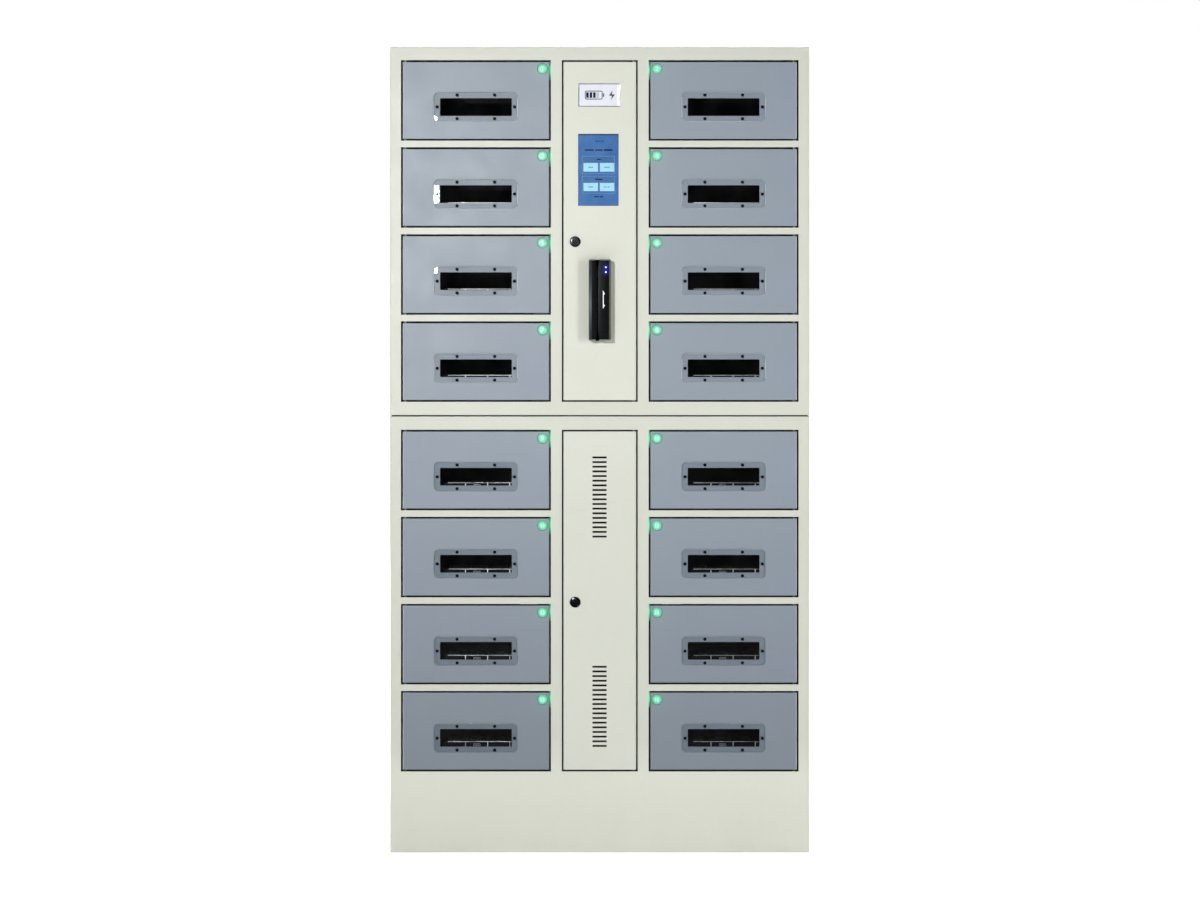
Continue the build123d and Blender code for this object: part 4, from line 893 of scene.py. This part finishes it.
yr = READER_LO.y
LED = [(RX + 13.0 * MM, RZ + 69.6 * MM), (RX + 13.0 * MM, RZ + 59.2 * MM)]
m.make("card_reader_body", [lit_black("plastic_black_lamp_lit", [(x, yr, z) for x, z in LED], 13.0 * MM)], body, ["card_reader"], smooth=30)
m = Mesh()
for at in LED:
    m.lathe_y([(1.6 * MM, yr + 0.8 * MM), (1.6 * MM, yr + 0.4 * MM), (1.45 * MM, yr + 0.25 * MM), (1.1 * MM, yr + 0.12 * MM), (0.6 * MM, yr + 0.04 * MM), (0.0, yr + 0.02 * MM)], at, 28)
m.make("reader_leds", ["led_blue"], body)
# the swipe arrow is white print given a faint glow as painted light
m = Mesh()
ax, az = RX + 7.7 * MM, RZ + 0.8 * MM
for outline in ([(-1.1, -16.0), (0.6, -16.0), (0.6, 16.0), (-1.1, 16.0)], [(-1.1, 19.6), (-1.1, 11.5), (3.6, 11.5)], [(-1.1, -19.6), (3.6, -11.5), (-1.1, -11.5)]):
    m.prism_y([(x * MM, z * MM) for x, z in outline], yr + 0.6 * MM, yr + 0.41 * MM, (ax, az))
m.make("reader_swipe_arrow", ["print_glow_painted"], body)
m = Mesh()
for z in (RZ + 79.0 * MM, RZ - 79.0 * MM):
    m.lathe_y([(1.5 * MM, yr + 1.6 * MM), (1.5 * MM, yr + 0.43 * MM), (1.25 * MM, yr + 0.33 * MM), (0.8 * MM, yr + 0.33 * MM), (0.8 * MM, yr + 0.7 * MM)], (RX + 14.6 * MM, z), 20)
m.make("reader_screws", ["black_screw"], body)

# ------------------------------------------------------------------ cam lock faces: stepped bright ring and key entry, turning plugs stay CAD
for tag in ("upper", "lower"):
    lo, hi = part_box(f"{tag}_lock_barrel")
    lx, lz = (lo.x + hi.x) / 2, (lo.z + hi.z) / 2
    m = Mesh()
    prof_out = [(11.5, 0.0), (11.55, 1.2), (11.5, 2.3), (11.2, 2.62), (10.3, 3.02), (9.65, 3.26), (9.1, 3.37), (8.5, 3.445), (8.2, 3.44), (8.0, 3.34), (7.5, 2.5), (7.1, 2.15), (6.9, 2.3), (6.6, 2.45), (6.3, 2.3), (6.2, 0.0)] if tag == "upper" else \
        [(11.5, 0.0), (11.55, 1.2), (11.5, 1.95), (11.1, 2.2), (9.9, 2.56), (8.2, 3.06), (7.9, 2.95), (7.4, 2.1), (7.1, 2.0), (6.9, 2.3), (6.6, 2.45), (6.3, 2.3), (6.2, 0.0)]
    proud = max((YF - lo.y) / MM - 3.06 + 0.35, 0.0)
    m.loft([[(lx + x, YF - (y + (proud if y > 0 else 0.0)) * MM, lz + z) for x, z in circle(r * MM, 64)] for r, y in prof_out], 0, closed=True)
    m.make(f"{tag}_lock_ring", ["chrome" if tag == "upper" else "ring_black"], BODY_OF[f"{tag}_lock_barrel"], smooth=25)

# ------------------------------------------------------------------ inside the service bay: looms, supply terminals, controller sockets
TR_LO, TR_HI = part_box("wiring_harness")
for s in (-1, 1):
    cx, cy = s * 78.0 * MM, -170.0 * MM
    m = Mesh()
    strands = [(0.0, 0.0, 2.6, 0)] + [(4.9 * math.cos(TAU * k / 6), 4.9 * math.sin(TAU * k / 6), 2.3, (1, 0, 2, 0, 3, 0)[k]) for k in range(6)]
    z_lo, z_hi = TR_LO.z + 1 * MM, TR_HI.z - 1 * MM
    steps = 90
    for dx, dy, rad, mat in strands:
        path = []
        for i in range(steps + 1):
            z = z_lo + (z_hi - z_lo) * i / steps
            a = 0.9 * math.sin(z * 7 + s) + z * 2.2
            px = dx * math.cos(a) - dy * math.sin(a)
            py = dx * math.sin(a) + dy * math.cos(a)
            path.append((cx + px * MM, cy + py * MM, z))
        m.tube(path, rad * MM, 10, mat)
    for n in DOORS:
        if side_of(n) != s:
            continue
        z = opening(n)[2] + 14 * MM
        strip_x = (min(s * 105, s * 427) + 184 - s * 98) * MM
        sag = [(cx, cy - 2 * MM, z + 5 * MM), (cx + s * 5 * MM, cy, z + 1.4 * MM), (cx + s * 12 * MM, cy, z), (cx + s * 20 * MM, cy, z)]
        far = [(strip_x - s * 20 * MM, cy, z - 0.2 * MM), (strip_x - s * 1 * MM, cy, z)]
        mid = [(cx + s * 20 * MM + (strip_x - s * 20 * MM - cx - s * 20 * MM) * i / 6, cy, z - 1.0 * MM * math.sin(math.pi * i / 6)) for i in range(1, 6)]
        if abs(strip_x - cx) > 45 * MM:
            m.tube(sag + mid + far, 2.7 * MM, 12, 0)
        else:
            m.tube(sag + far[-1:], 2.7 * MM, 12, 0)
        m.lathe_x([(2.8 * MM, strip_x - s * 9 * MM), (3.0 * MM, strip_x - s * 8 * MM), (3.0 * MM, strip_x - s * 0.3 * MM)], (cy, z), 16, 0)
        wall = s * 92.65 * MM
        m.lathe_x([(2.9 * MM, wall - s * 1.4 * MM), (5.6 * MM, wall - s * 1.4 * MM), (5.8 * MM, wall - s * 0.7 * MM), (5.6 * MM, wall - s * 0.1 * MM), (2.9 * MM, wall - s * 0.1 * MM)], (cy, z), 24, 5)
    z = z_lo + 30 * MM
    while z < z_hi - 20 * MM:
        m.loft([[(cx + x, cy + y, z + dz) for x, y in circle(rad * MM, 28)] for rad, dz in ((7.5, -1.3 * MM), (7.95, -1.2 * MM), (7.95, 1.2 * MM), (7.5, 1.3 * MM))], 4)
        z += 84 * MM
    extra = ["wiring_harness"] if s < 0 else []
    m.make("loom_left" if s < 0 else "loom_right", ["cable", "cable_red", "cable_blue", "cable_grey", "tie", "rubber"], "cabinet", extra, smooth=50)

P_LO, P_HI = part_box("power_supplies")
m = Mesh()
for s in (-1, 1):
    for z0 in (225.0, 480.0):
        xi, xo = s * (92.65 - 33.5), s * (92.65 - 11.9)
        xa, xb = s * (92.65 - 28.0), s * (92.65 - 11.8)
        m.box((min(xa, xb) * MM, -37 * MM, (z0 + 195.2) * MM), (max(xa, xb) * MM, 72 * MM, (z0 + 206.0) * MM), 0.6 * MM, 0)
        for i in range(9):
            y = -31 + i * 12.2
            m.box((min(xa, xb) * MM, (y + 4.4) * MM, (z0 + 206.0) * MM), (max(xa, xb) * MM, (y + 5.6) * MM, (z0 + 212.0) * MM), 0.2 * MM, 0)
            m.lathe_z([(3.0 * MM, (z0 + 205.8) * MM), (3.0 * MM, (z0 + 208.0) * MM), (2.4 * MM, (z0 + 208.6) * MM)], (s * (92.65 - 20) * MM, y * MM), 16, 1)
        m.box((min(xi, xi + s * 0.5) * MM, 10 * MM, (z0 + 30) * MM), (max(xi, xi + s * 0.5) * MM, 60 * MM, (z0 + 70) * MM), 0.1 * MM, 2)
m.make("supply_terminals", ["black", "zinc", "print_white"], "cabinet", smooth=35)

C_LO, C_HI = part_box("lock_controller")
m = Mesh()
cxf = C_HI.x
m.box((cxf - 0.2 * MM, C_LO.y + 8 * MM, C_LO.z + 10 * MM), (cxf, C_HI.y - 8 * MM, C_HI.z - 10 * MM), 0.08 * MM, 1)
for i in range(8):
    z = C_LO.z + 16 * MM + i * 21.5 * MM
    m.box((cxf - 12 * MM, C_LO.y - 7.5 * MM, z), (cxf - 2 * MM, C_LO.y + 0.1 * MM, z + 18 * MM), 0.5 * MM, 0)
    for k in range(3):
        m.lathe_y([(1.5 * MM, C_LO.y - 7.3 * MM), (1.5 * MM, C_LO.y - 7.9 * MM), (1.2 * MM, C_LO.y - 8.1 * MM)], (cxf - 7 * MM, z + (3.4 + k * 5.6) * MM), 14, 2)
for k in range(4):
    m.lathe_z([(2.6 * MM, C_HI.z - 0.2 * MM), (3.0 * MM, C_HI.z + 0.5 * MM), (2.6 * MM, C_HI.z + 1.4 * MM)], (cxf - 12 * MM, C_LO.y + (20 + 28 * k) * MM), 18, 2)
m.make("controller_sockets", ["green_plastic", "print_white", "steel"], "cabinet")

# ------------------------------------------------------------------ each electric lock: rotary hook and cover screws
m = Mesh()
for n in DOORS:
    x_in, _, z0, z1 = opening(n)
    s, zc = side_of(n), (z0 + z1) / 2
    tx = x_in + s * 16 * MM
    yb = YF + 23.8 * MM
    for dz in (-25, 25):
        m.lathe_y([(2.6 * MM, yb - 0.1 * MM), (2.6 * MM, yb - 0.9 * MM), (2.1 * MM, yb - 1.3 * MM), (0.9 * MM, yb - 1.3 * MM), (0.9 * MM, yb - 0.7 * MM), (0.0, yb - 0.7 * MM)], (tx - s * 12 * MM, zc + dz * MM), 20, 0)
    # hook: a quarter ring standing across the mouth
    xa, xb = tx - s * 4.3 * MM, tx - s * 2.2 * MM
    outline = [(14.0, -6.0), (24.0, -8.5), (27.5, -4.0), (27.5, 4.5), (24.5, 8.0), (20.0, 9.0), (20.0, 5.8), (23.2, 4.0), (23.8, 0.0), (20.0, -3.2), (14.0, -3.0)]
    rings = []
    for x in (xa, xb):
        rings.append([(x, YF + 23 * MM + u * MM, zc + v * MM) for u, v in outline])
    m.loft(rings, 1)
m.make("lock_hooks", ["zinc", "steel"], "cabinet", smooth=30)

# ------------------------------------------------------------------ socket modules: contacts, tongues and a round brass stud on each module
m = Mesh()
for n in DOORS:
    z = opening(n)[2] + 57.2 * MM
    s = side_of(n)
    cx = (min(s * 105, s * 427) + 184) * MM
    y0 = YF + 31 * MM
    for i in (-1.5, -0.5, 0.5, 1.5):
        sx = cx + i * 48 * MM
        for dx in (-7.75, 7.75):
            m.box((sx + (dx - 5.2) * MM, y0 + 10.6 * MM, z - 5.5 * MM), (sx + (dx + 5.2) * MM, y0 + 12.4 * MM, z - 1.4 * MM), 0.15 * MM, 0)
            for k in range(4):
                xk = sx + (dx - 3.6 + 2.4 * k) * MM
                m.box((xk - 0.45 * MM, y0 + 10.35 * MM, z - 4.8 * MM), (xk + 0.45 * MM, y0 + 10.7 * MM, z - 1.6 * MM), 0.0, 1)
        for dx, w in ((-6.5, 1.6), (6.5, 1.6)):
            m.box((sx + (dx - w) * MM, y0 + 26 * MM, z - 6.1 * MM), (sx + (dx + w) * MM, y0 + 36 * MM, z - 5.9 * MM), 0.0, 2)
        m.lathe_z([(2.2 * MM, z - 6.2 * MM), (2.2 * MM, z - 4.6 * MM), (1.7 * MM, z - 4.0 * MM)], (sx, y0 + 31 * MM), 18, 1)
m.make("socket_contacts", ["white_plastic", "brass", "steel"], "cabinet", smooth=30)

m = Mesh()
for n in DOORS:
    zf = opening(n)[2]
    s = side_of(n)
    cx = (min(s * 105, s * 427) + 184) * MM
    y0 = YF + 31 * MM
    m.box((cx - 86 * MM, y0 - 0.7 * MM, zf + 55.7 * MM), (cx + 96 * MM, y0 + 0.9 * MM, zf + 57.0 * MM), 0.4 * MM, 0)
    for dx in (-48, 0, 48):
        m.box((cx + (dx - 0.9) * MM, y0 - 0.6 * MM, zf + 14 * MM), (cx + (dx + 0.9) * MM, y0 + 0.3 * MM, zf + 55.4 * MM), 0.3 * MM, 0)
    px, pz = cx - 23 * MM, zf + 49.6 * MM
    ring = []
    for w_, h_, y in ((15.0, 5.6, 0.2), (15.0, 5.6, -0.9), (13.8, 4.4, -0.9), (13.8, 4.4, 0.2)):
        ring.append([(px + x, y0 + y * MM, pz + z) for x, z in rr(w_ * MM, h_ * MM, 1.2 * MM, 4)])
    m.loft(ring, 0, closed=True)
    m.box((px - 5.6 * MM, y0 - 0.5 * MM, pz - 1.3 * MM), (px + 5.6 * MM, y0 + 0.1 * MM, pz + 0.7 * MM), 0.2 * MM, 1)
m.make("strip_trims", ["trim", "cable_grey"], "cabinet", smooth=30)

# ------------------------------------------------------------------ mains inlet: rocker with its mark, and fixing screws
I_LO, I_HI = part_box("mains_inlet")
ix, iz = (I_LO.x + I_HI.x) / 2, (I_LO.z + I_HI.z) / 2
yb = I_HI.y
m = Mesh()
m.loft([[(ix + x * MM, y, iz + z * MM) for x, y, z in ((-9.8, yb - 1.9 * MM, 8.6), (9.8, yb - 1.9 * MM, 8.6), (9.8, yb - 1.9 * MM, 21.4), (-9.8, yb - 1.9 * MM, 21.4))],
        [(ix + x * MM, yb - d * MM, iz + z * MM) for x, d, z in ((-9.6, 0.0, 8.8), (-9.6 + 19.2, 0.0, 8.8), (9.6, 1.5, 21.2), (-9.6, 1.5, 21.2))]], 0)
m.box((ix - 0.8 * MM, yb - 1.2 * MM, iz + 17 * MM), (ix + 0.8 * MM, yb - 0.85 * MM, iz + 20 * MM), 0.0, 1)
for s in (-1, 1):
    m.lathe_y([(2.6 * MM, yb - 0.1 * MM), (2.4 * MM, yb - 0.0 * MM), (1.2 * MM, yb + 0.0 * MM)], (ix + s * 22.5 * MM, iz - 2 * MM), 18, 2)
m.make("inlet_rocker", ["red_plastic", "print_white", "zinc"], "cabinet")

# ------------------------------------------------------------------ stage: pale floor, soft light, camera square on
fl = Mat("floor_pale")
lp = fl.n("LightPath")
fl.set(Base_Color=fl.mix(lp.outputs["Is Glossy Ray"], fl.mix(fl.span(fl.noise(1.2), 0.3, 0.7, 0.0, 1.0), (0.76, 0.76, 0.755), (0.79, 0.79, 0.785)), (0.02, 0.02, 0.02)), Roughness=0.9,
       Emission_Color=(1, 1, 1), Emission_Strength=fl.math("MULTIPLY", lp.outputs["Is Camera Ray"], fl.span(fl.axis(1), 0.6, 4.5, 0.64, 1.02)))
me = bpy.data.meshes.new("floor")
S = 30.0
me.from_pydata([(-S, -S, 0), (S, -S, 0), (S, S, 0), (-S, S, 0)], [], [(0, 1, 2, 3)])
me.materials.append(fl.m)
floor = bpy.data.objects.new("floor", me)
floor.location.z = -0.0002
bpy.context.scene.collection.objects.link(floor)
floor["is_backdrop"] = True

world = bpy.data.worlds.new("studio")
bpy.context.scene.world = world
world.use_nodes = True
wt = world.node_tree
wt.nodes.clear()
out = wt.nodes.new("ShaderNodeOutputWorld")
bg_light, bg_seen = wt.nodes.new("ShaderNodeBackground"), wt.nodes.new("ShaderNodeBackground")
bg_light.inputs[0].default_value, bg_light.inputs[1].default_value = (0.97, 0.985, 1.0, 1), 0.05
bg_seen.inputs[0].default_value, bg_seen.inputs[1].default_value = (1, 1, 1, 1), 1.0
path, mixer = wt.nodes.new("ShaderNodeLightPath"), wt.nodes.new("ShaderNodeMixShader")
bg_gloss, mirror = wt.nodes.new("ShaderNodeBackground"), wt.nodes.new("ShaderNodeMixShader")
# reflections see a dark studio that only brightens overhead
wc, ws, wr = wt.nodes.new("ShaderNodeTexCoord"), wt.nodes.new("ShaderNodeSeparateXYZ"), wt.nodes.new("ShaderNodeMapRange")
wt.links.new(wc.outputs["Generated"], ws.inputs[0])
wt.links.new(ws.outputs[2], wr.inputs["Value"])
for k, v in (("From Min", 0.35), ("From Max", 0.9), ("To Min", 0.004), ("To Max", 0.5)):
    wr.inputs[k].default_value = v
wt.links.new(wr.outputs[0], bg_gloss.inputs[1])
bg_gloss.inputs[0].default_value = (0.97, 0.985, 1.0, 1)
wt.links.new(path.outputs["Is Glossy Ray"], mirror.inputs[0])
wt.links.new(bg_light.outputs[0], mirror.inputs[1])
wt.links.new(bg_gloss.outputs[0], mirror.inputs[2])
wt.links.new(path.outputs["Is Camera Ray"], mixer.inputs[0])
wt.links.new(mirror.outputs[0], mixer.inputs[1])
wt.links.new(bg_seen.outputs[0], mixer.inputs[2])
wt.links.new(mixer.outputs[0], out.inputs[0])


def area(name, at, to, w, h, power, colour=(1, 1, 1), mirrored=False):
    d = bpy.data.lights.new(name, "AREA")
    d.shape, d.size, d.size_y, d.energy, d.color = "RECTANGLE", w, h, power, colour
    o = bpy.data.objects.new(name, d)
    o.location = at
    o.rotation_euler = (Vector(to) - Vector(at)).to_track_quat("-Z", "Y").to_euler()
    o.visible_glossy = mirrored
    bpy.context.scene.collection.objects.link(o)
    return o


area("key", (-1.05, YF - 3.50, 1.745), (0, YF, 0.9), 0.3, 0.3, 65.0, (1.0, 1.0, 0.985), True)
area("fill", (2.2, YF - 2.8, 1.46), (0, YF, 0.8), 0.4, 0.4, 23.5)
area("fill_low", (2.3, YF - 2.9, 0.5), (0, YF, 0.6), 0.8, 0.6, 24.0)
area("front_low", (0.1, YF - 3.4, 0.35), (0, YF, 0.5), 1.0, 0.4, 5.5)
area("back_left", (-1.8, 3.6, 2.3), (0, 0.2, 0.9), 1.4, 1.4, 120.0)
# these stand behind the front plane: they light the top, sides and back and leave the front alone
area("top_back", (0.2, 1.0, 4.2), (0, 0.05, 1.2), 1.8, 1.2, 70.0)
area("side_right", (3.8, 0.9, 1.9), (0.3, 0.1, 0.9), 1.2, 1.4, 48.0)
area("side_left", (-3.8, 0.9, 1.9), (-0.3, 0.1, 0.9), 1.2, 1.4, 30.0)
sd = bpy.data.lights.new("key_centre", "SPOT")
sd.energy, sd.spot_size, sd.spot_blend, sd.shadow_soft_size, sd.color = 60.0, math.radians(40), 1.0, 0.12, (1.0, 1.0, 0.985)
so = bpy.data.objects.new("key_centre", sd)
so.location = (-1.05, YF - 3.50, 1.745)
so.rotation_euler = (Vector((-0.12, YF, 1.05)) - Vector(so.location)).to_track_quat("-Z", "Y").to_euler()
bpy.context.scene.collection.objects.link(so)
for n, at in LAMPS.items():
    d = bpy.data.lights.new(f"lamp_spill_{n:02d}", "POINT")
    d.energy, d.color, d.shadow_soft_size = 0.0030, (0.15, 1.0, 0.42), 0.004
    o = bpy.data.objects.new(f"lamp_spill_{n:02d}", d)
    o.location = (at[0], YF - 7 * MM, at[1])
    bpy.context.scene.collection.objects.link(o)

cam_d = bpy.data.cameras.new("camera")
cam = bpy.data.objects.new("camera", cam_d)
bpy.context.scene.collection.objects.link(cam)
EYE, DIST, MM_PER_PX = 1.092, 3.4, 2.148
wide = 1200 * MM_PER_PX * MM
cam.location = (0.0005, YF - DIST, EYE)
cam.rotation_euler = (math.radians(90), 0, 0)
cam_d.sensor_width = 36.0
cam_d.lens = 36.0 * DIST / wide
mid_z = (852.5 - 450.0) * MM_PER_PX * MM
cam_d.shift_y = (mid_z - EYE) / wide
# the shift belongs to the square-on view only: seen from anywhere else the camera has none
drive = cam_d.driver_add("shift_y").driver
drive.type = "SCRIPTED"
for axis in ("LOC_X", "LOC_Y"):
    var = drive.variables.new()
    var.name, var.type = axis[-1].lower(), "TRANSFORMS"
    var.targets[0].id, var.targets[0].transform_type = cam, axis
drive.expression = f"{(mid_z - EYE) / wide:.6f} if abs(x - 0.0005) + abs(y + {DIST - YF:.4f}) < 0.01 else 0.0"
cam_d.clip_start, cam_d.clip_end = 0.05, 200.0
bpy.context.scene.camera = cam
bpy.context.scene.view_settings.view_transform = "Standard"

lo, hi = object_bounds()
